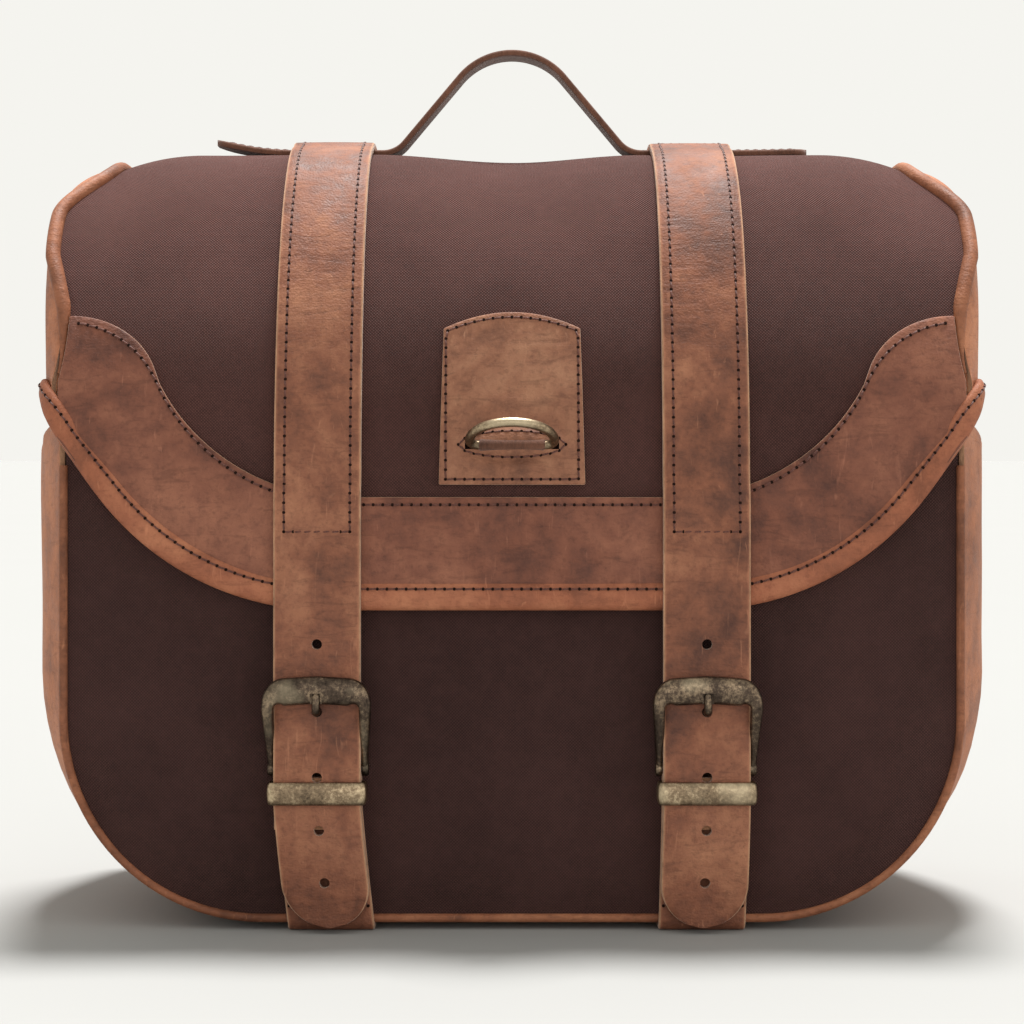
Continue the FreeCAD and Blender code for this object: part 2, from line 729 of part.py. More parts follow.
def case_parts():
    inner_y = FRONT + PANEL + GAP
    inner_back = BACK - PANEL - GAP
    parts = {
        "front_panel": front_panel(),
        "back_panel": back_panel(),
        "gusset": gusset(),
        "front_piping": seam_piping(FRONT + PIPING_R).cut(above_mouth()),
        "back_piping": seam_piping(BACK - PIPING_R),
        "front_stiffener": stiffener((inner_y, inner_y + BOARD), BOARD_LOW),
        "back_stiffener": with_eyelet_holes(
            stiffener((inner_back - BOARD, inner_back), BOARD_LOW, MOUTH_BACK_Z - 4)),
        "base_board": base_board(),
        "lining": lining(),
        "rim_binding": rim_binding(),
        "hinge_strip": hinge_strip(),
        "back_reinforcement": back_reinforcement(),
        "eyelets": eyelets(),
    }
    return parts


def lid_parts():
    zone = lid_zone(BIND)
    piping = lid_piping()
    pipings = piping.fuse(mirrored(piping))
    walls = lid_shell(0, -LID_WALL).common(zone)
    side_wall = walls.common(box((SEAM_HALF, TALL), (-TALL, TALL), (0, TALL))).cut(piping)
    return {
        "lid_panel": walls.common(between_seams()).cut(pipings),
        "lid_side_right": side_wall,
        "lid_side_left": mirrored(side_wall),
        "lid_piping_right": piping,
        "lid_piping_left": mirrored(piping),
        "lid_band": lid_band(zone).cut(pipings),
        "lid_edge_binding": lid_edge_binding(zone),
        "lid_stiffener": lid_stiffener(),
        "patch": patch(),
        "d_ring_tab": d_ring_tab(),
        "d_ring": d_ring(),
    }


def sided_parts():
    arch, end = handle_parts()
    parts = {"handle_arch": arch, "handle_end_right": end, "handle_end_left": mirrored(end)}
    makers = {
        "strap": strap,
        "strap_tail": strap_tail,
        "billet": billet,
        "base_strap": base_strap,
        "buckle_frame": buckle_frame,
        "prong": prong,
        "keeper": keeper,
    }
    for name, make in makers.items():
        for word, side in SIDES.items():
            parts[f"{name}_{word}"] = make(side)
    return parts


os.makedirs("parts", exist_ok=True)
for group in (case_parts(), lid_parts(), sided_parts()):
    for node, shape in group.items():
        export(node, shape)
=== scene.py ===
import json
import math
from bisect import bisect_right
from collections import namedtuple

import bmesh
import bpy
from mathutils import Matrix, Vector, noise


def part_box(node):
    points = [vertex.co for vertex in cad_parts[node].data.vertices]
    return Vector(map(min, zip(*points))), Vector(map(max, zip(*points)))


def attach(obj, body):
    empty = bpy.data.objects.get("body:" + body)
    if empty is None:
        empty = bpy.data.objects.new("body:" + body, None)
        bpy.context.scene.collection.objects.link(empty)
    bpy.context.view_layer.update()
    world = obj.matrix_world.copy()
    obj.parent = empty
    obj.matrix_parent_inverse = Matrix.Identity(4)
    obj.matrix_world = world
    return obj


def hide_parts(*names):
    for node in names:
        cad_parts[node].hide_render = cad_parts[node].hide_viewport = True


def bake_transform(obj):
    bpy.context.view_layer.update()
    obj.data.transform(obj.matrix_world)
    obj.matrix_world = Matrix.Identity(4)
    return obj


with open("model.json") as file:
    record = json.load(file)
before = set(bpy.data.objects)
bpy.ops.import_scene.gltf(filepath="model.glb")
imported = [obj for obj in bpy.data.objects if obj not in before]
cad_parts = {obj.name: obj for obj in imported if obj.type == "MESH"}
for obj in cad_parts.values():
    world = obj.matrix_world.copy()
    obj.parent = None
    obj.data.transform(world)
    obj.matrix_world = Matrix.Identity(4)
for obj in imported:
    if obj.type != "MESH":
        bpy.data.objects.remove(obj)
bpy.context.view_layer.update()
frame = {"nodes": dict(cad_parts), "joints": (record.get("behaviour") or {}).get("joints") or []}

# Shapes are worked out in millimetres, and a mesh is scaled to metres as it is made.
MM = 0.001
SIDES = {"left": -1, "right": 1}
SHARP = math.radians(50)               # a bend over this shows as an edge


# ---- Camera, light and floor ----

PALE = (0.913, 0.905, 0.863)           # the studio all round
OVERHEAD = 6.4
# The floor is lit by the studio and by the light overhead, and is as pale as the studio with both.
FLOOR_TONE = tuple(tone / (tone + 0.95 * OVERHEAD / math.pi) for tone in PALE)


def add_camera():
    """Level with the middle of the bag, straight in front of it."""
    camera = bpy.data.cameras.new("Camera")
    camera.sensor_width = 36
    camera.lens = 77.9
    camera.shift_y = -0.056
    obj = bpy.data.objects.new("Camera", camera)
    obj.location = (0, -0.871, 0.175)
    obj.rotation_euler = (math.radians(90), 0, 0)
    bpy.context.scene.collection.objects.link(obj)
    bpy.context.scene.camera = obj


def add_area_light(name, place, target, size, power, colour):
    light = bpy.data.lights.new(name, "AREA")
    light.shape = "RECTANGLE"
    light.size, light.size_y = size
    light.energy = power
    light.color = colour
    obj = bpy.data.objects.new(name, light)
    obj.location = place
    direction = Vector(target) - Vector(place)
    obj.rotation_euler = direction.to_track_quat("-Z", "Y").to_euler()
    bpy.context.scene.collection.objects.link(obj)


def add_lights():
    """A broad soft light overhead, weak fills from the front and the right, and a pale studio all round."""
    overhead = bpy.data.lights.new("Overhead", "SUN")
    overhead.energy = OVERHEAD
    overhead.angle = math.radians(13)
    obj = bpy.data.objects.new("Overhead", overhead)
    obj.rotation_euler = (math.radians(-14), math.radians(3), 0)
    bpy.context.scene.collection.objects.link(obj)
    add_area_light("FrontFill", (0.2, -2.6, 0.35), (0, 0, 0.15), (1.8, 1.2), 9, (1.0, 0.98, 0.96))
    add_area_light("RightFill", (1.6, -0.8, 0.5), (0, 0, 0.15), (0.7, 0.7), 3, (1.0, 0.98, 0.96))
    world = bpy.data.worlds.new("Studio")
    world.use_nodes = True
    world.node_tree.nodes["Background"].inputs["Color"].default_value = (*PALE, 1)
    bpy.context.scene.world = world
    bpy.context.scene.view_settings.view_transform = "Standard"


# ---- Dimensions, from the frame ----

X, Y, Z = range(3)


def low(node, axis):
    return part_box(node)[0][axis] / MM


def high(node, axis):
    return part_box(node)[1][axis] / MM


def joint_place(name):
    """Where a joint of the record is, in millimetres."""
    for joint in frame["joints"]:
        if joint["name"] == name:
            return Vector(joint["pos_m"]) / MM


FRONT = low("front_panel", Y)
BACK = high("back_panel", Y)
MIDDLE = (FRONT + BACK) / 2
HALF_DEPTH = (BACK - FRONT) / 2
CASE_LOW = low("front_piping", Z)
SEAM_HALF = high("front_piping", X)
BULGE = high("gusset", X) - SEAM_HALF
PROUD = 1.5                            # the leather of a full bag stands a little outside its pattern
PIPING_R = (high("front_piping", Y) - low("front_piping", Y)) / 2
FLAT_HALF = 92.0                       # half of the straight stretch of the bottom edge
CORNER = SEAM_HALF - FLAT_HALF         # radius of the panels' bottom corners
MOUTH_FRONT_Z = high("front_panel", Z) - 16
MOUTH_BACK_Z = high("gusset", Z)
MOUTH_BEND = 6.0                       # the mouth climbs steeply this far behind the front
MOUTH_BEND_Z = 203.0
SEAM_SUNK = 1.8                        # the panels lie this much deeper along their seams
SEAM_SLOPE = 14.0                      # and come up to their full height over this width
PANEL = 1.4                            # thickness of the panels

LID_FRONT = low("lid_panel", Y)
CREST_Y = low("handle_arch", Y)
CREST_Z = high("lid_panel", Z)
DROOP_Z = low("patch", Z)              # the front of the lid is upright below the patch
DROOP_DEPTH = CREST_Y - LID_FRONT
DROOP_RISE = CREST_Z - DROOP_Z
HINGE = joint_place("lid_hinge")
REAR_R = CREST_Z - HINGE.z - 7
SIDE_LOW_Z = low("lid_side_right", Z)
FLAP_LOW_Z = low("lid_edge_binding", Z)
FLAP_FLAT = 68.0                       # half of the level stretch of the flap's lower edge
FLAP_R = 104.7                         # radius of the arc beyond it
FLAP_TURN = math.radians(52)           # the flap's edge is straight beyond this turn of its arc
BAND = 2.2                             # thickness of the leather on the lid
BIND = 10.5                            # height of the rolled binding
BIND_HALF_THICK = 3.1
SIDE_FOOT_Z = SIDE_LOW_Z - 3           # the side walls run down behind their binding
LID_ROLL = 2.8                         # radius of the roll along the lid's side seams
SEAM_TOP = SEAM_HALF - 13              # the lid's side seams draw in over the crest
CORNER_X = 122.0                       # beyond this half width the cloth sinks towards the seams
CORNER_DROP = 6.0                      # by this much at the crest
SAG = 3.0                              # of the cloth between the straps
BAND_Z = 159.5                         # upper edge of the band between the straps
BAND_TOP_Z = 226.0                     # and at the side seams
BAND_FLAT = 60.0                       # half of that edge's level stretch
BAND_END = 165.0                       # half width at which its arcs end
BAND_R = 78.0                          # radius of its lower arc
BAND_TURN = 2 * math.atan2(BAND_TOP_Z - BAND_Z, BAND_END - BAND_FLAT)
BAND_UPPER_R = (BAND_END - BAND_FLAT) / math.sin(BAND_TURN) - BAND_R

STRAP_HALF = (high("strap_right", X) - low("strap_right", X)) / 2
STRAP_X = high("strap_right", X) - STRAP_HALF
STRAP = 3.0
STRAP_GAP = 0.4                        # under a strap, and how much more it rises over
OVER_BAND = 2.1                        # the band
OVER_LOOP = 2.3                        # and the hand loop
TAIL_Y = high("strap_tail_right", Y) - STRAP / 2
TIP_Z = low("strap_tail_right", Z)
SEWN_LOW_Z = low("strap_right", Z)
PIVOT = joint_place("buckle_right_tip")
HANDLE_Y = (low("handle_arch", Y) + high("handle_arch", Y)) / 2
HANDLE_HALF = (high("handle_arch", Y) - low("handle_arch", Y)) / 2
HANDLE = 2.4
HANDLE_TOP_Z = high("handle_arch", Z)
HANDLE_END = high("handle_end_right", X)
HANDLE_FOOT = 52.0                     # the arch rises from here
HANDLE_SLOPE = math.radians(50)        # at this steepness
CURL_LEFT = 4.6                        # how far the ends of the hand loop curl up
CURL_RIGHT = 0.6
RING = joint_place("ring_swing")
RING_WIRE = 1.75
RING_LEAN = math.radians(148)          # the bow stands up and forward from its bar
SLOT_HALF = 17.2
SLOT_LIP = 4.4                         # the leather stands up round the slot
LIP_WIDE = 24.0                        # half axes of that raised oval
LIP_TALL = 8.5
HOLES = (106.0, 81.4, 57.5, 38.2, 19.0)
HOLE_R = 1.9
TAIL_LEAN = {-1: 4.6, 1: -1.2}         # how far each tail's tip hangs to one side
BILLET = 2.1
FRAME_INSIDE_Z = 84.0                  # a buckle frame's opening ends here, below its thick top
FRAME_RAIL = 2.25                      # half width of its rails
FRAME_CORNER = 6.2
FRAME_MIDDLE_Z = 90.0                  # middle of that top
NOTCH_Z = (83.0, 88.6)                 # the prong's tip lies in this notch
NOTCH_HALF = 2.1
KNUCKLE_R = 2.7
PIVOT_BACK = FRONT - PIVOT.y
EYELET_X = 80.0
EYELET_Z = (90.0, 170.0)
EYELET_R = 4.6
RECESS_R = 7.1                         # the eyelets' rims are let into the back plate
RECESS_DEPTH = 0.85


# ---- Small helpers ----

def smooth(t):
    """0 before 0, 1 after 1, and an even curve between."""
    t = min(1.0, max(0.0, t))
    return t * t * (3 - 2 * t)


def lerp(a, b, t):
    return a + (b - a) * t


def lens(t):
    """1 at 0, falling off to 0 at -1 and 1."""
    return max(0.0, 1 - t * t)


def steps(count):
    """Even steps from 0 to 1, both ends included."""
    return [i / (count - 1) for i in range(count)]


def ripple(a, b, size, height, seed=0.0):
    """A soft unevenness, for cloth and leather that isn't perfectly flat."""
    return height * noise.noise(Vector((a / size, b / size, seed)))


def grid(tall, wide, place):
    """Rows of what place(u, v) gives, with u from 0 to 1 along a row and v from the first row to the last."""
    return [[place(u, v) for u in steps(wide)] for v in steps(tall)]


def mirrored(point):
    """The same place, or direction, on the other side of the bag."""
    return Vector((-point.x, point.y, point.z))


def rounded(start, corner, end, count):
    """Points on a curve from start to end that is drawn towards the corner between them."""
    return [start.lerp(corner, t).lerp(corner.lerp(end, t), t) for t in steps(count)]


# ---- Meshes ----

class Pile:
    """Points and faces of one object, collected in pieces. A face has the number of its material."""

    def __init__(self):
        self.points = []
        self.uvs = []
        self.faces = []
        self.slots = []

    def add(self, points, faces, slots=0, uvs=None):
        first = len(self.points)
        self.points += points
        self.uvs += uvs or [(p.x, p.z) for p in points]
        self.faces += [tuple(first + i for i in face) for face in faces]
        self.slots += slots if isinstance(slots, list) else [slots] * len(faces)

    def build(self, name, materials):
        mesh = bpy.data.meshes.new(name)
        mesh.from_pydata([p * MM for p in self.points], [], self.faces)
        layer = mesh.uv_layers.new(name="UVMap")
        for loop in mesh.loops:
            layer.data[loop.index].uv = self.uvs[loop.vertex_index]
        mesh.polygons.foreach_set("material_index", self.slots)
        mesh.polygons.foreach_set("use_smooth", [True] * len(mesh.polygons))
        for material in materials:
            mesh.materials.append(material)
        mesh.update()
        mesh.set_sharp_from_angle(angle=SHARP)
        obj = bpy.data.objects.new(name, mesh)
        bpy.context.scene.collection.objects.link(obj)
        return obj


def grid_faces(rows, columns, closed_rows=False, closed_columns=False):
    """Quads over a grid of points that is given row by row."""
    faces = []
    for r in range(rows if closed_rows else rows - 1):
        for c in range(columns if closed_columns else columns - 1):
            below = r * columns
            above = (r + 1) % rows * columns
            across = (c + 1) % columns
            faces.append((below + c, below + across, above + across, above + c))
    return faces


def settle(obj):
    """Makes the result of the modifiers the mesh itself."""
    bpy.context.view_layer.update()
    graph = bpy.context.evaluated_depsgraph_get()
    mesh = bpy.data.meshes.new_from_object(obj.evaluated_get(graph))
    obj.modifiers.clear()
    obj.data = mesh


def thicken(obj, thickness, edge=0.35, even=True):
    """Gives a sheet its thickness, inwards, with softened edges that have the second material."""
    solid = obj.modifiers.new("Thickness", "SOLIDIFY")
    solid.thickness = thickness * MM
    solid.offset = -1
    solid.use_even_offset = even
    solid.material_offset_rim = 1
    if edge:
        bevel = obj.modifiers.new("Edge", "BEVEL")
        bevel.width = edge * MM
        bevel.segments = 2
        bevel.limit_method = "ANGLE"
        bevel.angle_limit = SHARP
    settle(obj)
    obj.data.set_sharp_from_angle(angle=math.radians(60))


def skin(name, rows, thickness, materials, edge=0.35, even=True):
    """A sheet through rows of (point, uv), seen from the side where rows climb and columns run right."""
    pile = Pile()
    flat = [item for row in rows for item in row]
    pile.add([p for p, uv in flat], grid_faces(len(rows), len(rows[0])), uvs=[uv for p, uv in flat])
    obj = pile.build(name, materials)
    if thickness:
        thicken(obj, thickness, edge, even)
    return obj


# A place along a sweep: its centre, the two directions of its section, and how much the section is
# stretched in each.
Station = namedtuple("Station", "at side out wide thick")


def add_sweep(pile, stations, section, closed=False):
    """Carries a closed section of (across, outwards, material) along the stations."""
    points = []
    uvs = []
    run = 0.0
    for i, station in enumerate(stations):
        if i:
            run += (station.at - stations[i - 1].at).length
        for across, outwards, _ in section:
            points.append(
                station.at + station.side * across * station.wide + station.out * outwards * station.thick)
            uvs.append((across * station.wide, run))
    count = len(section)
    faces = grid_faces(len(stations), count, closed_rows=closed, closed_columns=True)
    rings = len(stations) if closed else len(stations) - 1
    slots = [section[c][2] for _ in range(rings) for c in range(count)]
    if not closed:
        last = (len(stations) - 1) * count
        faces += [tuple(range(count))[::-1], tuple(range(last, last + count))]
        slots += [section[0][2]] * 2
    pile.add(points, faces, slots, uvs)


def sweep(name, stations, section, materials, closed=False):
    pile = Pile()
    add_sweep(pile, stations, section, closed)
    obj = pile.build(name, materials)
    outwards(obj)
    return obj


def outwards(obj):
    """Turns every face of a closed mesh to look outwards."""
    work = bmesh.new()
    work.from_mesh(obj.data)
    bmesh.ops.recalc_face_normals(work, faces=work.faces)
    work.to_mesh(obj.data)
    work.free()


def round_section(radius, count=12, material=0):
    turns = [2 * math.pi * i / count for i in range(count)]
    return [(radius * math.cos(a), radius * math.sin(a), material) for a in turns]


def soft_section(half_width, half_thick, power=3.0, count=24):
    """A rectangle with well rounded corners."""
    points = []
    for i in range(count):
        turn = 2 * math.pi * (i + 0.5) / count
        cosine, sine = math.cos(turn), math.sin(turn)
        size = (abs(cosine) ** power + abs(sine) ** power) ** (-1 / power)
        points.append((half_width * size * cosine, half_thick * size * sine, 0))
    return points


def strap_section(half, thick, crown=0.25, columns=9):
    """Flat leather: a slightly crowned face, and sides that have the material of a cut edge."""
    face = [lerp(-half + 0.7, half - 0.7, t) for t in steps(columns)]
    top = [(a, thick / 2 + crown * lens(a / half), 0) for a in face]
    right = [(half - 0.15, thick / 2 - 0.3, 1), (half, 0, 1), (half - 0.15, -thick / 2 + 0.3, 1)]
    under = [(-a, -thick / 2, 1) for a in face]
    left = [(-half + 0.15, -thick / 2 + 0.3, 1), (-half, 0, 1), (-half + 0.15, thick / 2 - 0.3, 1)]
    section = top + right + under + left
    # Turned round, a face takes the material of its later corner, so the crown's first corner is an edge.
    section[0] = section[0][:2] + (1,)
    return section[::-1]


def stations_along(points, outs, closed=False):
    """Stations with their directions worked out from the path and an outward direction at each point."""
    made = []
    count = len(points)
    for i, point in enumerate(points):
        before = points[(i - 1) % count] if closed or i else point
        after = points[(i + 1) % count] if closed or i < count - 1 else point
        along = (after - before).normalized()
        side = along.cross(outs[i]).normalized()
        made.append(Station(point, side, side.cross(along).normalized(), 1.0, 1.0))
    return made


def cord(name, points, outs, radius, materials, closed=False):
    """A round cord along a path."""
    return sweep(name, stations_along(points, outs, closed), round_section(radius), materials, closed)


def cut(obj, shapes):
    """Cuts closed meshes out of an object, and throws them away."""
    for shape in shapes:
        boolean = obj.modifiers.new("Cut", "BOOLEAN")
        boolean.operation = "DIFFERENCE"
        boolean.solver = "EXACT"
        boolean.object = shape
    settle(obj)
    for shape in shapes:
        bpy.data.objects.remove(shape)
    obj.data.set_sharp_from_angle(angle=SHARP)


def punch(name, at, direction, radius, length, material, count=20):
    """A round tool for a punched hole, centred on a point."""
    half = direction.normalized() * length / 2
    points = [at - half, at + half]
    out = Vector((0, 0, 1)) if abs(half.z) < abs(half.y) else Vector((0, 1, 0))
    return sweep(name, stations_along(points, [out] * 2), round_section(radius, count), [material])


def block(name, x, y, z, material):
    """A square tool between two corners."""
    section = [(a, b, 0) for a, b in ((x[0], y[0]), (x[1], y[0]), (x[1], y[1]), (x[0], y[1]))]
    ends = [Station(Vector((0, 0, height)), Vector((1, 0, 0)), Vector((0, 1, 0)), 1, 1) for height in z]
    return sweep(name, ends, section, [material])


def finish_piece(obj, body, nodes):
    """Puts a finished piece on its body, in the place of CAD nodes."""
    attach(obj, body)
    if nodes:
        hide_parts(*nodes)
    return obj


# ---- Stitches ----

STITCH_INSET = 4.0                     # from the edge of thick leather
THREAD_R = 0.36
NEEDLE_HOLE_R = THREAD_R * 1.7
# A stitch from hole to hole: (part of its length, height in thread radii, thickness).
STITCH_SHAPE = ((0.06, -0.9, 0.5), (0.2, -0.1, 0.95), (0.5, 0.25, 1.0), (0.8, -0.1, 0.95), (0.94, -0.9, 0.5))


def walk(path, pitch):
    """Places an even distance apart along a path of (point, out)."""
    runs = [0.0]
    for (a, _), (b, _) in zip(path, path[1:]):
        runs.append(runs[-1] + (b - a).length)
    count = max(1, round(runs[-1] / pitch))
    places = []
    for i in range(count + 1):
        run = runs[-1] * i / count
        k = min(len(path) - 2, max(0, bisect_right(runs, run) - 1))
        part = (run - runs[k]) / max(1e-9, runs[k + 1] - runs[k])
        (a, out_a), (b, out_b) = path[k], path[k + 1]
        places.append((a.lerp(b, part), out_a.lerp(out_b, part).normalized()))
    return places


def add_stitch(pile, start, end, out):
    """One stitch of thread, which comes out of one hole, lies on the leather and goes into the next."""
    along = end - start
    side = along.cross(out).normalized()
    stations = []
    for part, rise, size in STITCH_SHAPE:
        stations.append(Station(start + along * part + out * THREAD_R * rise, side, out, size, size))
    add_sweep(pile, stations, round_section(THREAD_R, 6))


def add_needle_hole_shade(pile, at, out, along):
    """A dark plug in the leather, which paints the shade inside the hole that a needle left."""
    side = along.cross(out).normalized()
    ahead = out.cross(side).normalized()
    stations = [Station(at + out * height, side, ahead, 1, 1) for height in (-0.4, 0.06)]
    add_sweep(pile, stations, round_section(NEEDLE_HOLE_R, 8, 1))


def add_stitches(pile, path, pitch=3.5, slant=0.16):
    """A row of stitches with the painted shade of its needle holes. Each stitch leans a little, as hand
    stitches do.
    """
    places = walk(path, pitch)
    for (a, out_a), (b, out_b) in zip(places, places[1:]):
        out = (out_a + out_b).normalized()
        side = (b - a).cross(out).normalized() * slant
        add_stitch(pile, a + side, b - side, out)
    for i, (a, out) in enumerate(places):
        near = places[i + 1][0] if i < len(places) - 1 else places[i - 1][0]
        add_needle_hole_shade(pile, a, out, near - a)


def stitch_piece(name, paths, body, **style):
    pile = Pile()
    for path in paths:
        add_stitches(pile, path, **style)
    obj = pile.build(name, [THREAD, NEEDLE_HOLE_SHADE])
    outwards(obj)
    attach(obj, body)
    return obj


# ---- Materials ----

class Look:
    """A material being built: a Principled shader and short ways to add nodes in front of it."""

    def __init__(self, name, **sockets):
        self.material = bpy.data.materials.new(name)
        self.material.use_nodes = True
        self.tree = self.material.node_tree
        self.shader = self.tree.nodes["Principled BSDF"]
        for socket, value in sockets.items():
            self.shader.inputs[socket.replace("_", " ")].default_value = value
        self.coords = self.tree.nodes.new("ShaderNodeTexCoord")
        self.place = self.coords.outputs["Object"]
        self.uv = self.coords.outputs["UV"]

    def node(self, kind, settings=None, **inputs):
        made = self.tree.nodes.new(kind)
        for key, value in (settings or {}).items():
            setattr(made, key, value)
        for key, value in inputs.items():
            self.put(made.inputs[key.replace("_", " ")], value)
        return made

    def put(self, socket, value):
        if isinstance(value, bpy.types.NodeSocket):
            self.tree.links.new(value, socket)
        else:
            socket.default_value = value

    def maths(self, operation, a, b=0.0):
        made = self.node("ShaderNodeMath", {"operation": operation})
        self.put(made.inputs[0], a)
        self.put(made.inputs[1], b)
        return made.outputs[0]

    def weighted(self, a, share_a, b, share_b):
        """Two values added up, each by its share."""
        return self.maths("ADD", self.maths("MULTIPLY", a, share_a), self.maths("MULTIPLY", b, share_b))

    def stretched(self, vector, scale):
        return self.node("ShaderNodeMapping", Vector=vector, Scale=scale).outputs[0]

    def noise(self, scale, detail=4.0, rough=0.55, vector=None, distortion=0.0):
        made = self.node("ShaderNodeTexNoise", Vector=vector or self.place, Scale=scale, Detail=detail,
                         Roughness=rough, Distortion=distortion)
        return made.outputs["Fac"]

    def cells(self, scale):
        return self.node("ShaderNodeTexVoronoi", Vector=self.place, Scale=scale).outputs["Distance"]

    def span(self, value, low_in, high_in, low_out=0.0, high_out=1.0):
        made = self.node("ShaderNodeMapRange", Value=value, From_Min=low_in, From_Max=high_in, To_Min=low_out,
                         To_Max=high_out)
        return made.outputs[0]

    def ramp(self, value, stops):
        made = self.node("ShaderNodeValToRGB", Fac=value)
        elements = made.color_ramp.elements
        while len(elements) < len(stops):
            elements.new(0.5)
        for element, (position, colour) in zip(elements, stops):
            element.position = position
            element.color = (*colour, 1)
        return made.outputs[0]

    def mix(self, part, a, b):
        made = self.node("ShaderNodeMix", {"data_type": "RGBA"})
        self.put(made.inputs[0], part)
        self.put(made.inputs[6], (*a, 1) if isinstance(a, tuple) else a)
        self.put(made.inputs[7], (*b, 1) if isinstance(b, tuple) else b)
        return made.outputs[2]

    def bump(self, height, distance, strength=1.0, after=None):
        made = self.node("ShaderNodeBump", Height=height, Distance=distance, Strength=strength)
        if after:
            self.tree.links.new(after, made.inputs["Normal"])
        return made.outputs[0]

    def done(self, colour, rough, normal):
        self.put(self.shader.inputs["Base Color"], colour)
        self.put(self.shader.inputs["Roughness"], rough)
        if normal:
            self.put(self.shader.inputs["Normal"], normal)
        return self.material


def srgb(red, green, blue):
    """A linear colour from its usual 0 to 255 numbers."""
    return tuple(((v / 255 + 0.055) / 1.055) ** 2.4 for v in (red, green, blue))


def tinted(colour, share):
    return tuple(v * share for v in colour)


def canvas_look(name, colour, pitch=1.15, sheen=0.42):
    """Waxed cotton canvas: round thread crossings in rows, with painted shade in the gaps between the
    threads, faded in patches, a little dusty.
    """
    look = Look(name, Sheen_Weight=sheen, Sheen_Roughness=0.45, Specular_IOR_Level=0.15)
    look.shader.inputs["Sheen Tint"].default_value = (*tinted(colour, 9), 1)
    axes = look.node("ShaderNodeSeparateXYZ", Vector=look.uv)
    wobble = look.span(look.noise(60), 0, 1, -0.35, 0.35)
    rising = look.maths("ADD", look.maths("ADD", axes.outputs[0], axes.outputs[1]), wobble)
    falling = look.maths("ADD", look.maths("SUBTRACT", axes.outputs[0], axes.outputs[1]), wobble)
    across = look.maths("SINE", look.maths("MULTIPLY", rising, math.pi / pitch))
    along = look.maths("SINE", look.maths("MULTIPLY", falling, math.pi / pitch))
    threads = look.maths("ABSOLUTE", look.maths("MULTIPLY", across, along))
    over = look.maths("MULTIPLY", across, along)
    slub = look.noise(700, 3, 0.6)
    patch = look.noise(14, 6, 0.62)
    # Painted shade: the ramp below colours the gaps between the threads darker; the patches add real fading.
    shade = look.weighted(threads, 0.55, slub, 0.45)
    worn = look.maths("ADD", shade, look.span(patch, 0.3, 0.7, -0.16, 0.16))
    tone = look.ramp(worn, ((0.12, tinted(colour, 0.42)), (0.5, colour), (0.95, tinted(colour, 1.9))))
    warm = look.mix(look.span(look.noise(220, 5, 0.7), 0.45, 0.75, 0, 0.35), tone, tinted(colour, 1.5))
    two_ways = look.span(over, -1, 1, -0.1, 0.1)
    height = look.maths("ADD", look.maths("ADD", threads, look.maths("MULTIPLY", slub, 0.35)), two_ways)
    fine = look.bump(height, 0.00035, 0.9)
    soft = look.bump(look.noise(35, 3, 0.5), 0.0012, 0.6, fine)
    return look.done(warm, look.span(slub, 0.2, 0.8, 0.68, 0.92), soft)


def leather_look(name, dark, mid, pale, edge_half=0.0, worn=0.5):
    """Oiled leather: patchy, finely grained, with creases painted darker as shade, light scuffs, and paler
    where an edge is worn.
    """
    look = Look(name, Specular_IOR_Level=0.25, Sheen_Weight=0.1, Sheen_Roughness=0.5)
    look.shader.inputs["Sheen Tint"].default_value = (*pale, 1)
    clouds = look.noise(17, 7, 0.62, distortion=0.6)
    mottle = look.noise(95, 6, 0.65)
    grain = look.cells(1150)
    pores = look.noise(1900, 2, 0.5)
    blend = look.weighted(clouds, 0.62, mottle, 0.38)
    tone = look.ramp(blend, ((0.36, dark), (0.5, mid), (0.66, pale)))
    speck = look.span(look.noise(430, 4, 0.7), 0.5, 0.72, 0, 0.4)
    tone = look.mix(speck, tone, tinted(dark, 0.8))
    drawn = look.stretched(look.place, (1.0, 1.0, 0.16))
    scratches = look.span(look.noise(260, 3, 0.5, drawn, 2.2), 0.64, 0.76, 0, worn)
    tone = look.mix(scratches, tone, tinted(pale, 1.12))
    creases = look.noise(150, 5, 0.7, look.stretched(look.place, (0.35, 0.35, 1.6)), 1.2)
    # Painted shade: the leather is coloured darker along its creases.
    tone = look.mix(look.span(creases, 0.36, 0.46, 0.3, 0), tone, tinted(dark, 0.8))
    if edge_half:
        axes = look.node("ShaderNodeSeparateXYZ", Vector=look.uv)
        edge = look.maths("ADD", look.maths("ABSOLUTE", axes.outputs[0]), look.span(mottle, 0, 1, -1.1, 1.1))
        rubbed = look.span(edge, edge_half - 1.5, edge_half + 0.4, 0, 0.85)
        tone = look.mix(rubbed, tone, tinted(pale, 1.2))
    fine = look.bump(look.weighted(grain, 0.7, pores, 0.4), 0.00022, 0.8)
    creased = look.bump(creases, 0.0008, 0.5, fine)
    soft = look.bump(mottle, 0.0009, 0.4, creased)
    return look.done(tone, look.span(mottle, 0.3, 0.7, 0.5, 0.75), soft)


def raw_edge_look(name, colour):
    """The cut edge and flesh side of leather: pale, fibrous, burnished in places."""
    look = Look(name, Sheen_Weight=0.25, Specular_IOR_Level=0.2)
    fibres = look.noise(1300, 4, 0.7, look.stretched(look.place, (1.0, 1.0, 0.35)))
    patch = look.noise(70, 4, 0.6)
    blend = look.weighted(fibres, 0.5, patch, 0.5)
    tone = look.ramp(blend, ((0.32, tinted(colour, 0.5)), (0.55, colour), (0.75, tinted(colour, 1.35))))
    return look.done(tone, 0.85, look.bump(fibres, 0.0003, 0.9))


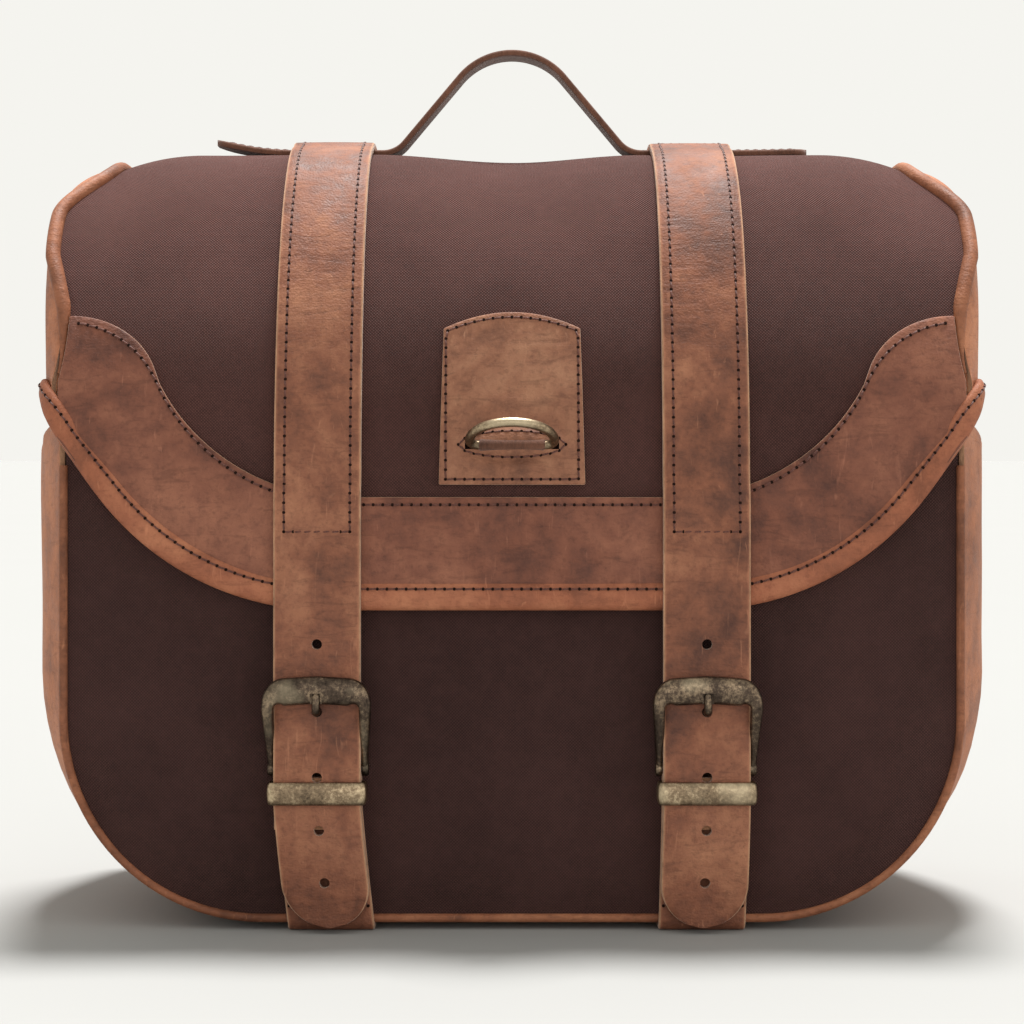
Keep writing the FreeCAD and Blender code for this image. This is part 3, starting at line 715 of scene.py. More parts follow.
def brass_look(name, dark, mid, pale, rubbed_share):
    """Antique brass: dark and pale in speckles and clouds, and in places rubbed bright."""
    look = Look(name, Metallic=1.0, Specular_IOR_Level=0.5)
    speckle = look.noise(850, 5, 0.75)
    cloud = look.noise(110, 5, 0.6)
    blend = look.weighted(speckle, 0.5, cloud, 0.5)
    tone = look.ramp(blend, ((0.34, dark), (0.5, mid), (0.65, pale)))
    rubbed = look.span(look.noise(45, 3, 0.5), 0.55, 0.7, 0, rubbed_share)
    tone = look.mix(rubbed, tone, srgb(206, 190, 158))
    return look.done(tone, look.span(blend, 0.35, 0.65, 0.5, 0.28), look.bump(speckle, 0.00018, 0.6))


def thread_look(name, colour):
    """Waxed thread with its twist."""
    look = Look(name, Specular_IOR_Level=0.4, Sheen_Weight=0.2)
    twist = look.noise(2200, 2, 0.5)
    tone = look.ramp(twist, ((0.35, tinted(colour, 0.55)), (0.6, tinted(colour, 1.25))))
    return look.done(tone, 0.6, look.bump(twist, 0.0002, 0.8))


def needle_hole_shade_look(name):
    """Painted shade inside a needle hole, brown like the leather round it."""
    look = Look(name, Specular_IOR_Level=0.1)
    tone = look.ramp(look.noise(900), ((0.3, srgb(22, 13, 10)), (0.7, srgb(40, 24, 18))))
    return look.done(tone, 0.95, None)


def board_look(name):
    """Grey-brown fibreboard."""
    look = Look(name, Specular_IOR_Level=0.2)
    fibres = look.noise(500, 6, 0.75, look.stretched(look.place, (0.3, 1.0, 1.0)))
    tone = look.ramp(fibres, ((0.35, srgb(96, 78, 60)), (0.65, srgb(150, 128, 100))))
    return look.done(tone, 0.9, look.bump(fibres, 0.0003, 0.7))


def floor_look(name):
    """A pale, matt studio floor."""
    look = Look(name, Specular_IOR_Level=0.08)
    tone = look.ramp(look.noise(3, 3, 0.5), ((0.3, FLOOR_TONE), (0.7, tinted(FLOOR_TONE, 1.01))))
    return look.done(tone, 0.95, None)


CANVAS = canvas_look("Canvas", srgb(60, 39, 36))
# Painted light: the lid's cloth has a lighter copy of the canvas, for the overhead light that falls on its
# upturned top.
LIT_LID_CANVAS = canvas_look("LidCanvas", srgb(70, 45, 41))
CANVAS_SIDE = canvas_look("CanvasEdge", srgb(48, 31, 30))
LINING = canvas_look("LiningCloth", srgb(120, 96, 74), 0.8, 0.15)
STRAP_FACE = leather_look(
    "StrapLeather", srgb(76, 46, 36), srgb(128, 80, 59), srgb(164, 112, 84), edge_half=STRAP_HALF)
BAND_FACE = leather_look("BandLeather", srgb(74, 43, 34), srgb(118, 72, 55), srgb(148, 97, 75))
BIND_FACE = leather_look("BindingLeather", srgb(111, 64, 44), srgb(148, 89, 63), srgb(174, 114, 83))
GUSSET_FACE = leather_look(
    "GussetLeather", srgb(115, 70, 49), srgb(164, 106, 76), srgb(188, 130, 97), worn=0.3)
PATCH_FACE = leather_look("PatchLeather", srgb(88, 55, 41), srgb(138, 92, 69), srgb(168, 122, 94))
PIPING = leather_look("PipingLeather", srgb(91, 54, 37), srgb(138, 86, 60), srgb(168, 113, 81))
RAW = raw_edge_look("RawEdge", srgb(170, 128, 98))
DARK_EDGE = raw_edge_look("DarkEdge", srgb(104, 68, 52))
BRASS = brass_look("AntiqueBrass", srgb(36, 31, 28), srgb(80, 68, 58), srgb(150, 130, 106), 0.3)
# A lighter copy of the same brass, with more of it rubbed bright, for the ring and the keepers.
LIGHTER_BRASS = brass_look("LighterBrass", srgb(72, 62, 52), srgb(130, 112, 90), srgb(196, 176, 144), 0.55)
THREAD = thread_look("Thread", srgb(88, 44, 30))
NEEDLE_HOLE_SHADE = needle_hole_shade_look("NeedleHoleShade")
BOARD = board_look("Board")


def dress_cad_nodes():
    """Materials for the CAD nodes that stay: the hidden boards and the metal eyelets."""
    dressed = {
        "front_stiffener": BOARD,
        "back_stiffener": BOARD,
        "base_board": BOARD,
        "eyelets": BRASS,
    }
    for node, material in dressed.items():
        obj = frame["nodes"][node]
        obj.data.materials.clear()
        obj.data.materials.append(material)


# ---- Lid surface ----

def lid_table():
    """The lid's side profile above the droop: (run, y, z, outward y, outward z) at close steps."""
    places = []
    for t in steps(80):
        turn = t * math.pi / 2
        out = Vector((-math.cos(turn) / DROOP_DEPTH, math.sin(turn) / DROOP_RISE)).normalized()
        places.append((CREST_Y - DROOP_DEPTH * math.cos(turn), DROOP_Z + DROOP_RISE * math.sin(turn), *out))
    rear_start = BACK - REAR_R
    for t in steps(8)[1:]:
        places.append((lerp(CREST_Y, rear_start, t), CREST_Z, 0.0, 1.0))
    for t in steps(24)[1:]:
        turn = t * math.pi / 2
        places.append((
            rear_start + REAR_R * math.sin(turn), CREST_Z - REAR_R * (1 - math.cos(turn)),
            math.sin(turn), math.cos(turn)))
    for t in steps(12)[1:]:
        places.append((BACK, lerp(CREST_Z - REAR_R, SIDE_FOOT_Z, t), 1.0, 0.0))
    run = 0.0
    table = [(run, *places[0])]
    for a, b in zip(places, places[1:]):
        run += math.hypot(b[0] - a[0], b[1] - a[1])
        table.append((run, *b))
    return table


LID_TABLE = lid_table()
LID_RUNS = [row[0] for row in LID_TABLE]


def lid_profile(run):
    """(y, z, outward y, outward z) at a run along the lid, measured from the droop; below it, upright."""
    if run <= 0:
        return LID_FRONT, DROOP_Z + run, -1.0, 0.0
    k = min(len(LID_TABLE) - 2, bisect_right(LID_RUNS, run) - 1)
    a, b = LID_TABLE[k], LID_TABLE[k + 1]
    t = (run - a[0]) / (b[0] - a[0])
    return tuple(lerp(a[i], b[i], t) for i in range(1, 5))


def run_at_height(z):
    """The run at which the front of the lid reaches a height."""
    if z <= DROOP_Z:
        return z - DROOP_Z
    turn = math.asin(min(1.0, (z - DROOP_Z) / DROOP_RISE))
    place = turn / (math.pi / 2) * 79
    k = min(78, int(place))
    return lerp(LID_RUNS[k], LID_RUNS[k + 1], place - k)


CREST_RUN = run_at_height(CREST_Z)
REAR_RUN = next(row[0] for row in LID_TABLE if row[1] >= BACK - REAR_R - 0.01)
HINGE_RUN = REAR_RUN + REAR_R * math.pi / 2 + CREST_Z - REAR_R - HINGE.z
END_RUN = LID_RUNS[-1]
FRONT_CORNER_RUN = run_at_height(262)  # corners of the side walls' arched edge
REAR_CORNER_RUN = REAR_RUN + REAR_R * math.pi / 4
HANDLE_RUN = CREST_RUN + HANDLE_Y - CREST_Y


def height_share(run):
    """0 on the front of the lid, 1 at its crest."""
    return smooth((lid_profile(run)[1] - 236) / (CREST_Z - 240))


def lid_seam_x(run):
    """Half width of the lid at its seams: a waist at the band, fullest above it, drawn in at the crest."""
    z = lid_profile(run)[1]
    flare = 3.5 * lens((z - 264) / 34) - 3 * lens((z - BAND_TOP_Z) / 24)
    return SEAM_HALF + flare - (SEAM_HALF - SEAM_TOP + 1) * smooth((z - 268) / (CREST_Z - 268))


def lid_rise(x, run):
    """How far the cloth stands off the lid's profile: it sags at the crest and sinks at the corners."""
    end = min(1.0, max(0.0, abs(x) - CORNER_X) / (SEAM_TOP - CORNER_X))
    sag = SAG * math.cos(min(1.0, abs(x) / (STRAP_X - STRAP_HALF)) * math.pi / 2) ** 2
    sunk = height_share(run) * (CORNER_DROP * end * end + sag)
    return (ripple(x, run, 46, 0.7) - sunk) * smooth((HINGE_RUN - run) / 26)


def lid_point(x, run, lift=0.0):
    """A point of the lid, lifted off its face."""
    y, z, out_y, out_z = lid_profile(run)
    rise = lift + lid_rise(x, run)
    return Vector((x, y + out_y * rise, z + out_z * rise))


def lid_out(run):
    _, _, out_y, out_z = lid_profile(run)
    return Vector((0, out_y, out_z))


def flap_edge(x):
    """Height of the flap's lower edge: level, an arc, then straight up to the corner."""
    over = max(0.0, abs(x) - FLAP_FLAT)
    arc_end = FLAP_R * math.sin(FLAP_TURN)
    if over > arc_end:
        return FLAP_LOW_Z + FLAP_R * (1 - math.cos(FLAP_TURN)) + (over - arc_end) * math.tan(FLAP_TURN)
    return FLAP_LOW_Z + FLAP_R - math.sqrt(FLAP_R ** 2 - over ** 2)


def band_edge(x):
    """Height of the band's upper edge: level, then an upward and a levelling arc to the side seams."""
    over = abs(x) - BAND_FLAT
    if over <= 0:
        return BAND_Z
    if over < BAND_R * math.sin(BAND_TURN):
        return BAND_Z + BAND_R - math.sqrt(BAND_R ** 2 - over ** 2)
    back = max(0.0, BAND_END - abs(x))
    return BAND_TOP_Z - BAND_UPPER_R + math.sqrt(BAND_UPPER_R ** 2 - back ** 2)


# ---- Lid pieces ----

def lid_canvas():
    """The cloth of the lid, from under the binding over the crest to the hinge."""
    def place(u, v):
        across = 2 * u - 1
        foot = run_at_height(flap_edge(across * SEAM_HALF) + 2)
        run = lerp(foot, HINGE_RUN - 0.6, v)
        x = across * lid_seam_x(run)
        return lid_point(x, run), (x, run)

    obj = skin("LidCanvas", grid(120, 121, place), 1.6, [LIT_LID_CANVAS, CANVAS_SIDE])
    cut_length = HINGE_RUN - run_at_height(FLAP_LOW_Z)
    return finish_piece(obj, "lid", ["lid_panel"])


def lid_lining():
    """The cloth under the lid, over its board."""
    def place(u, v):
        across = 2 * u - 1
        foot = run_at_height(flap_edge(across * (SEAM_HALF - 6)) + 7)
        run = lerp(foot, HINGE_RUN - 8, v)
        x = across * (lid_seam_x(run) - 5)
        depth = 1.8 + 1.5 * smooth((lid_profile(run)[1] - 216) / 18)
        return lid_point(x, run, -depth), (x, run)

    obj = skin("LidLining", grid(60, 61, place), 1.0, [LINING, LINING])
    cut_length = HINGE_RUN - run_at_height(FLAP_LOW_Z)
    return finish_piece(obj, "lid", ["lid_stiffener"])


def lid_band():
    """The crescent of leather across the foot of the lid."""
    def place(u, v):
        across = 2 * u - 1
        level_x = across * (SEAM_HALF - 1)
        run = run_at_height(lerp(flap_edge(level_x) + 3, band_edge(level_x), v))
        x = across * (lid_seam_x(run) - 0.4)
        return lid_point(x, run, BAND - 0.5 * (1 - smooth((1 - v) * 8))), (x, run)

    obj = skin("LidBand", grid(40, 161, place), BAND - 0.4, [BAND_FACE, RAW], 0.5)
    finish_piece(obj, "lid", ["lid_band"])
    path = []
    for t in steps(240):
        x = (2 * t - 1) * (SEAM_HALF - 7)
        run = run_at_height(band_edge(x) - 2.8)
        path.append((lid_point(x, run, BAND + 0.05), lid_out(run)))
    stitch_piece("LidBandStitches", [path], "lid")


def cheek_inside(y, z):
    """(distance from the lid's seam, run of the nearest place of it) for a point of the lid's side."""
    nearest = min(range(len(LID_TABLE)), key=lambda k: math.hypot(LID_TABLE[k][1] - y, LID_TABLE[k][2] - z))
    found = []
    for k in (max(0, nearest - 1), min(nearest, len(LID_TABLE) - 2)):
        a, b = LID_TABLE[k], LID_TABLE[k + 1]
        along = ((y - a[1]) * (b[1] - a[1]) + (z - a[2]) * (b[2] - a[2])) / (b[0] - a[0]) ** 2
        along = min(1.0, max(0.0, along))
        distance = math.hypot(y - lerp(a[1], b[1], along), z - lerp(a[2], b[2], along))
        found.append((distance, lerp(a[0], b[0], along)))
    return min(found)


def cheek_x(y, z):
    """Half width of the lid's side wall: drawn in at the seam, round beside it, fullest half way back."""
    distance, run = cheek_inside(y, z)
    seam = lid_seam_x(run) + 2.2
    full = SEAM_HALF + 3 + 11 * lens((y - MIDDLE) / HALF_DEPTH)
    radius = 14 + 14 * height_share(run)
    part = 1 - min(1.0, distance / radius)
    return seam + (full - seam) * math.sqrt(1 - part * part) + ripple(y, z, 30, 0.6, 5.0) * (1 - part)


def side_place(u, v):
    """(y, z) on the lid's side wall: u from front to rear, v from its foot up to the arched seam."""
    def seam(run):
        return Vector(lid_profile(run)[:2])

    front = seam(lerp(run_at_height(SIDE_FOOT_Z), FRONT_CORNER_RUN, v))
    rear = seam(lerp(END_RUN, REAR_CORNER_RUN, v))
    top = seam(lerp(FRONT_CORNER_RUN, REAR_CORNER_RUN, u))
    level = seam(FRONT_CORNER_RUN).lerp(seam(REAR_CORNER_RUN), u)
    return front.lerp(rear, u) + (top - level) * v


def lid_cheek(name, side):
    """The leather side wall of the lid, sewn to the cloth all round its arched edge."""
    def place(u, v):
        y, z = side_place(0.5 - 0.5 * math.cos(math.pi * u), 1 - (1 - v) ** 1.8)
        distance, run = cheek_inside(y, z)
        rise = lid_rise(lid_seam_x(run), run) * max(0.0, 1 - distance / 30)
        return Vector((side * cheek_x(y, z), y, z)) + lid_out(run) * rise, (y, z)

    rows = grid(56, 70, place)
    if side < 0:
        rows = rows[::-1]
    return skin(name, rows, 2.2, [GUSSET_FACE, RAW], 0, False)


def lid_cheeks():
    for side_name, side in SIDES.items():
        obj = lid_cheek(f"LidSide_{side_name}", side)
        finish_piece(obj, "lid", [f"lid_side_{side_name}"])


def lid_pipings():
    """The piped seam between the cloth and the side walls."""
    for side_name, side in SIDES.items():
        points = []
        outs = []
        sizes = []
        for t in steps(160):
            run = lerp(run_at_height(205), END_RUN - 1, t)
            size = 0.25 + 0.75 * smooth(t * 9)
            x = side * (lid_seam_x(run) + LID_ROLL * 0.85 * size)
            points.append(lid_point(x, run, lerp(-0.8, 0.2, smooth(t * 9))))
            outs.append((lid_out(run) + Vector((side, 0, 0))).normalized())
            sizes.append(size)
        stations = [
            s._replace(wide=size, thick=size) for s, size in zip(stations_along(points, outs), sizes)
        ]
        obj = sweep(f"LidPiping_{side_name}", stations, round_section(LID_ROLL, 16), [PIPING])
        finish_piece(obj, "lid", [f"lid_piping_{side_name}"])


def binding_path():
    """Right half of the rolled edge: along the flap, round the corner, back along the side wall."""
    half_bind = BIND / 2
    places = []
    for t in steps(20)[:-1]:
        places.append((Vector((FLAP_FLAT * t, LID_FRONT, FLAP_LOW_Z + half_bind)), Vector((0, -1, 0))))
    radius = FLAP_R - half_bind
    centre_z = FLAP_LOW_Z + FLAP_R
    for t in steps(36):
        turn = FLAP_TURN * t
        x = FLAP_FLAT + radius * math.sin(turn)
        z = centre_z - radius * math.cos(turn)
        y = lid_profile(run_at_height(z))[0]
        places.append((Vector((x, y, z)), Vector((0, -1, 0))))
    side_z = SIDE_LOW_Z - 1.6
    arc_end = places[-1][0]
    for t in steps(10)[1:]:
        x = lerp(arc_end.x, SEAM_HALF - 5, t)
        z = arc_end.z + (x - arc_end.x) * math.tan(FLAP_TURN)
        places.append((Vector((x, lid_profile(run_at_height(z))[0], z)), Vector((0, -1, 0))))
    last = places[-1][0]
    turned = Vector((cheek_x(LID_FRONT + 15, side_z) + 0.2, LID_FRONT + 15, side_z))
    corner = Vector((SEAM_HALF + 5, LID_FRONT - 0.5, side_z - 0.5))
    for t, at in zip(steps(18)[1:], rounded(last, corner, turned, 18)[1:]):
        places.append((at, Vector((0, -1, 0)).slerp(Vector((1, 0, 0)), smooth(t))))
    for t in steps(40)[1:]:
        y = lerp(turned.y, BACK - 2, t)
        places.append((Vector((cheek_x(y, side_z) + 0.2, y, side_z)), Vector((1, 0, 0))))
    return places


def edge_binding():
    """The rolled leather along the lower edge of the lid, and its stitching."""
    right = binding_path()
    left = [(mirrored(p), mirrored(o)) for p, o in right[1:]]
    path = left[::-1] + right
    stations = stations_along([p + o * 0.4 for p, o in path], [o for p, o in path])
    flap = BIND / 2
    shaped = []
    for station in stations:
        onto_side = smooth((abs(station.at.x) - SEAM_HALF + 20) / 16)
        shaped.append(station._replace(wide=lerp(1.0, 0.84, onto_side), thick=lerp(1.0, 0.72, onto_side)))
    section = soft_section(flap, BIND_HALF_THICK, 2.6, 28)
    section = [(a, b * (1.0 if a > 0 else 0.93), m) for a, b, m in section]
    obj = sweep("EdgeBinding", shaped, section, [BIND_FACE])
    finish_piece(obj, "lid", ["lid_edge_binding"])
    thread = []
    for s in shaped:
        rise = BIND_HALF_THICK * s.thick - 0.1
        thread.append((s.at - s.side * (flap * 0.52 * s.wide) + s.out * rise, s.out))
    stitch_piece("EdgeBindingStitches", [thread], "lid")


def patch_top(x):
    """Height of the patch's upper edge, which is lower at its corners."""
    return high("patch", Z) - 6 * (x / high("patch", X)) ** 2


def slot_lip(x, z):
    """How far the leather stands up round the patch's slot."""
    oval = (x / LIP_WIDE) ** 2 + ((z - RING.z) / LIP_TALL) ** 2
    return SLOT_LIP * smooth(1 - oval)


def patch():
    """The plain leather patch with its slot, and a raised oval stitched round the slot."""
    half = high("patch", X)
    foot = low("patch", Z)

    def place(u, v):
        across = 2 * u - 1
        z = lerp(foot, patch_top(across * half), v)
        x = across * (half + 0.8 - 1.6 * v)
        run = run_at_height(z)
        bulge = slot_lip(x, z) + 0.6 * lens(x / 14) * lens((z - 192) / 6)
        return lid_point(x, run, BAND + bulge), (x, run)

    obj = skin("Patch", grid(48, 45, place), BAND, [PATCH_FACE, RAW], 0.5)
    depth = (LID_FRONT - 8, LID_FRONT + 12)
    slot = block("SlotTool", (-SLOT_HALF, SLOT_HALF), depth, (RING.z - 1.5, RING.z + 1.8), RAW)
    cut(obj, [slot])
    finish_piece(obj, "lid", ["patch"])
    inset = 2.0

    def on_patch(x, z, lift):
        run = run_at_height(z)
        return lid_point(x, run, BAND + lift), lid_out(run)

    side = half + 0.3 - inset
    border = [on_patch(-side, lerp(foot + inset, patch_top(side) - inset, t), 0.1) for t in steps(30)]
    border += [on_patch(x, patch_top(x) - inset, 0.1) for x in [lerp(-side, side, t) for t in steps(30)][1:]]
    border += [on_patch(side, lerp(patch_top(side) - inset, foot + inset, t), 0.1) for t in steps(30)[1:]]
    border += [on_patch(lerp(side, -side, t), foot + inset, 0.1) for t in steps(30)[1:]]
    oval = []
    for t in steps(60):
        turn = 2 * math.pi * t
        x, z = 19.6 * math.cos(turn), RING.z + 4.6 * math.sin(turn)
        oval.append(on_patch(x, z, 0.1 + slot_lip(x, z)))
    stitch_piece("PatchStitches", [border, oval], "lid")


def ring_tab():
    """Leather folded round the bar of the ring and let through the slot."""
    inside = RING.y + 5.5
    radius = 2.0
    points = [Vector((0, inside, RING.z + 1.1))]
    for t in steps(14):
        turn = math.pi * (0.5 + t)
        points.append(Vector((0, RING.y + radius * math.cos(turn), RING.z + radius * math.sin(turn) * 0.9)))
    points.append(Vector((0, inside, RING.z - 1.1)))
    outs = [Vector((0, 0, 1))]
    outs += [Vector((0, p.y - RING.y, p.z - RING.z)).normalized() for p in points[1:-1]]
    outs.append(Vector((0, 0, -1)))
    section = strap_section(high("d_ring_tab", X) - 1, 0.8, 0.05, 7)
    obj = sweep("RingTab", stations_along(points, outs), section, [DARK_EDGE, DARK_EDGE])
    finish_piece(obj, "lid", ["d_ring_tab"])


def d_ring():
    """The half ring, its bow forward and up from its straight bar."""
    radius = high("d_ring", X) - 1.6
    lean = RING_LEAN
    along = Vector((0, math.cos(lean), math.sin(lean)))
    corner = 3.2
    flat = []
    for t in steps(10):
        flat.append((lerp(-radius + corner, radius - corner, t), 0.0))
    for t in steps(7)[1:-1]:
        turn = t * math.pi / 2
        flat.append((radius - corner + corner * math.sin(turn), corner * (1 - math.cos(turn))))
    for t in steps(36)[1:-1]:
        turn = t * math.pi
        flat.append((radius * math.cos(turn), corner + (radius - corner) * math.sin(turn)))
    for t in steps(7)[1:-1]:
        turn = t * math.pi / 2
        flat.append((-radius + corner * (1 - math.cos(turn)), corner * (1 - math.sin(turn))))
    points = [RING + Vector((x, 0, 0)) + along * out for x, out in flat]
    normal = Vector((1, 0, 0)).cross(along)
    obj = cord("DRing", points, [normal] * len(points), RING_WIRE, [LIGHTER_BRASS], closed=True)
    finish_piece(obj, "ring", ["d_ring"])


# ---- Straps and buckles ----

def strap_lift(x, run):
    """How far the underside of a strap is off the lid: over the band and binding, and over the hand loop."""
    _, z, _, _ = lid_profile(run)
    over_band = smooth((band_edge(x) + 5 - z) / 6) if run < CREST_RUN else 0.0
    over_loop = lens(min(1.0, abs(run - HANDLE_RUN) / 16))
    return STRAP_GAP + OVER_BAND * over_band + OVER_LOOP * over_loop ** 0.7


def tail_shift(side, z):
    """The free ends don't hang quite straight below their keepers."""
    keeper_low = low("keeper_right", Z)
    return TAIL_LEAN[side] * max(0.0, (keeper_low - z) / (keeper_low - TIP_Z)) ** 1.15


def strap_path(side):
    """(centre, outward direction, half width) from the crest down the lid, and on to the tail's tip."""
    x = side * STRAP_X
    places = []
    start = REAR_RUN - 1
    stop = SEWN_LOW_Z - DROOP_Z
    for t in steps(150):
        run = lerp(start, stop, t)
        lift = strap_lift(x, run)
        place = lid_point(x, run, lift + STRAP / 2)
        if run <= 8:
            share = smooth((8 - run) / 24)
            place.y = lerp(place.y, TAIL_Y, share)
        places.append((place, lid_out(run), STRAP_HALF))
    foot = places[-1][0]
    for t in steps(90)[1:]:
        z = lerp(foot.z, TIP_Z, t ** 0.92)
        above_tip = z - TIP_Z
        half = STRAP_HALF
        if above_tip < STRAP_HALF:
            half = max(1.2, math.sqrt(STRAP_HALF ** 2 - (STRAP_HALF - above_tip) ** 2))
        hang = 1.7 * smooth((34 - z) / 30)
        places.append((Vector((x + tail_shift(side, z), lerp(foot.y, TAIL_Y, smooth(t * 6)) + hang, z)),
                       Vector((0, -1, 0)), half))
    return places


def strap(side_name):
    """One strap, from its sewn part on the lid to the free tail, with punched holes."""
    side = SIDES[side_name]
    path = strap_path(side)
    stations = stations_along([p for p, _, _ in path], [o for _, o, _ in path])
    stations = [
        s._replace(wide=half / STRAP_HALF, side=Vector((1, 0, 0)), out=s.out)
        for s, (_, _, half) in zip(stations, path)
    ]
    section = strap_section(STRAP_HALF, STRAP)
    obj = sweep(f"Strap_{side_name}", stations, section, [STRAP_FACE, RAW])
    tools = []
    for i, z in enumerate(HOLES):
        centre = Vector((side * STRAP_X + tail_shift(side, z), TAIL_Y, z))
        tools.append(punch(f"HoleTool{i}", centre, Vector((0, 1, 0)), HOLE_R, 12, RAW))
    cut(obj, tools)
    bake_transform(obj)
    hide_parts(f"strap_{side_name}", f"strap_tail_{side_name}")
    sewn = [
        (s.at + s.out * (STRAP / 2 + 0.12), s.out) for s in stations if s.at.z > SEWN_LOW_Z + 2
    ]
    lines = []
    for edge in (-1, 1):
        shift = Vector((edge * (STRAP_HALF - STITCH_INSET), 0, 0))
        lines.append([(p + shift, o) for p, o in sewn])
    across = Vector((STRAP_HALF - STITCH_INSET, 0, 0))
    lines.append([(sewn[-1][0] - across, sewn[-1][1]), (sewn[-1][0] + across, sewn[-1][1])])
    top = next(place for place in sewn if place[0].y < CREST_Y + 4)
    lines.append([(top[0] - across, top[1]), (top[0] + across, top[1])])
    stitch_piece(f"StrapStitches_{side_name}", lines, "lid")


def billet(side_name):
    """The leather that comes from under the bag, is folded over the bar of the buckle and ends in front."""
    side = SIDES[side_name]
    x = side * STRAP_X
    back_y = FRONT - 0.35 - BILLET / 2
    fold_r = PIVOT_BACK - 0.35 - BILLET / 2
    base_z = high("base_strap_right", Z) / 2
    bend = 3.2
    foot_x = x + tail_shift(side, TIP_Z)
    base_back = high("base_strap_right", Y)
    points = []
    outs = []
    for t in steps(12):
        points.append(Vector((foot_x, lerp(base_back, back_y + bend, t), base_z)))
        outs.append(Vector((0, 0, -1)))
    for t in steps(8)[1:]:
        turn = t * math.pi / 2
        z = base_z + bend * (1 - math.cos(turn))
        points.append(Vector((x + tail_shift(side, max(z, TIP_Z)), back_y + bend * (1 - math.sin(turn)), z)))
        outs.append(Vector((0, -math.sin(turn), -math.cos(turn))))
    for t in steps(30)[1:]:
        z = lerp(base_z + bend, PIVOT.z, t)
        points.append(Vector((x + tail_shift(side, z), back_y, z)))
        outs.append(Vector((0, -1, 0)))
    for t in steps(14)[1:]:
        turn = t * math.pi
        points.append(Vector((x, PIVOT.y + fold_r * math.cos(turn), PIVOT.z + fold_r * math.sin(turn))))
        outs.append(Vector((0, -math.cos(turn), -math.sin(turn))))
    for t in steps(12)[1:]:
        points.append(Vector((x, PIVOT.y - fold_r, lerp(PIVOT.z, PIVOT.z - 22, t))))
        outs.append(Vector((0, 1, 0)))
    stations = [s._replace(side=Vector((1, 0, 0))) for s in stations_along(points, outs)]
    obj = sweep(f"Billet_{side_name}", stations, strap_section(STRAP_HALF, BILLET, 0.1), [STRAP_FACE, RAW])
    slit = block("SlitTool", (x - 2.3, x + 2.3), (PIVOT.y - 6, PIVOT.y + 6), (PIVOT.z - 3, PIVOT.z + 8), RAW)
    cut(obj, [slit])
    finish_piece(obj, "case", [f"billet_{side_name}", f"base_strap_{side_name}"])
    zigzag = []
    face = back_y - BILLET / 2 - 0.1
    for i in range(15):
        place = x + tail_shift(side, 10) + lerp(-STRAP_HALF + 1.5, STRAP_HALF - 1.5, i / 14)
        zigzag.append((Vector((place, face, 9.5 + (2.6 if i % 2 else 0.0))), Vector((0, -1, 0))))
    stitch_piece(f"BilletStitches_{side_name}", [zigzag], "case", pitch=3.2, slant=0.0)


def frame_y(z):
    """Middle of a buckle frame: it leans forward from its bar and stands upright in front of the tail."""
    face = low("buckle_frame_right", Y) + 2.0
    return lerp(PIVOT.y, face, min(1.0, (z - PIVOT.z) / 22))


def buckle(side_name):
    """The cast frame, a loop that is slender at its rails and thick at its arched top, with its bar."""
    x = SIDES[side_name] * STRAP_X
    top_half = (high("buckle_frame_right", Z) - FRAME_INSIDE_Z) / 2
    top_z = high("buckle_frame_right", Z) - top_half
    outer = (high("buckle_frame_right", X) - low("buckle_frame_right", X)) / 2
    foot_x = outer - 3.2
    shoulder_x = outer - FRAME_RAIL
    right = []
    for t in steps(14):
        z = lerp(PIVOT.z - 0.8, top_z - FRAME_CORNER, t)
        right.append((lerp(foot_x, shoulder_x, t), z, lerp(1.3, FRAME_RAIL, t)))
    for t in steps(12)[1:]:
        turn = t * math.pi / 2
        a = shoulder_x - FRAME_CORNER * (1 - math.cos(turn))
        right.append((a, top_z - FRAME_CORNER * (1 - math.sin(turn)), lerp(FRAME_RAIL, top_half, smooth(t))))
    for t in steps(7)[1:]:
        right.append((lerp(shoulder_x - FRAME_CORNER, 0, t), top_z + 0.7 * t, top_half))
    left = [(-a, z, half) for a, z, half in right[:-1]]
    outline = left + right[::-1]
    stations = []
    for i, (a, z, half) in enumerate(outline):
        before = outline[max(0, i - 1)]
        after = outline[min(len(outline) - 1, i + 1)]
        at = Vector((x + a, frame_y(z), z))
        along = Vector((after[0] - before[0], 0, after[1] - before[1])).normalized()
        side = Vector((0, -1, 0)).cross(along)
        arch = 1 + 0.12 * smooth((half - FRAME_RAIL) / (top_half - FRAME_RAIL))
        stations.append(Station(at, side, Vector((0, -1, 0)), half, arch))
    pile = Pile()
    add_sweep(pile, stations, soft_section(1.0, 2.1, 2.5, 24))
    bar = [Vector((x + side * (foot_x + 0.4), PIVOT.y, PIVOT.z)) for side in (-1, 1)]
    add_sweep(pile, stations_along(bar, [Vector((0, 0, 1))] * 2), round_section(1.4, 14))
    for side in (-1, 1):
        ends = [Vector((x + side * (foot_x + offset), PIVOT.y, PIVOT.z)) for offset in (-1.7, -1.3, 1.3, 1.7)]
        knuckle = stations_along(ends, [Vector((0, 0, 1))] * 4)
        knuckle = [s._replace(wide=w, thick=w) for s, w in zip(knuckle, (0.85, 1, 1, 0.85))]
        add_sweep(pile, knuckle, round_section(KNUCKLE_R, 18))
    obj = pile.build(f"BuckleFrame_{side_name}", [BRASS])
    outwards(obj)
    middle_y = frame_y(FRAME_MIDDLE_Z)
    across = (x - NOTCH_HALF, x + NOTCH_HALF)
    notch = block("NotchTool", across, (middle_y - 6, middle_y - 0.9), NOTCH_Z, BRASS)
    cut(obj, [notch])
    finish_piece(obj, f"buckle_{side_name}", [f"buckle_frame_{side_name}"])


def bend_points(corners, radius, count=8):
    """A path through corners, each rounded off."""
    points = [corners[0]]
    for before, corner, after in zip(corners, corners[1:], corners[2:]):
        start = corner + (before - corner).normalized() * radius
        end = corner + (after - corner).normalized() * radius
        points += rounded(start, corner, end, count)
    points.append(corners[-1])
    return points


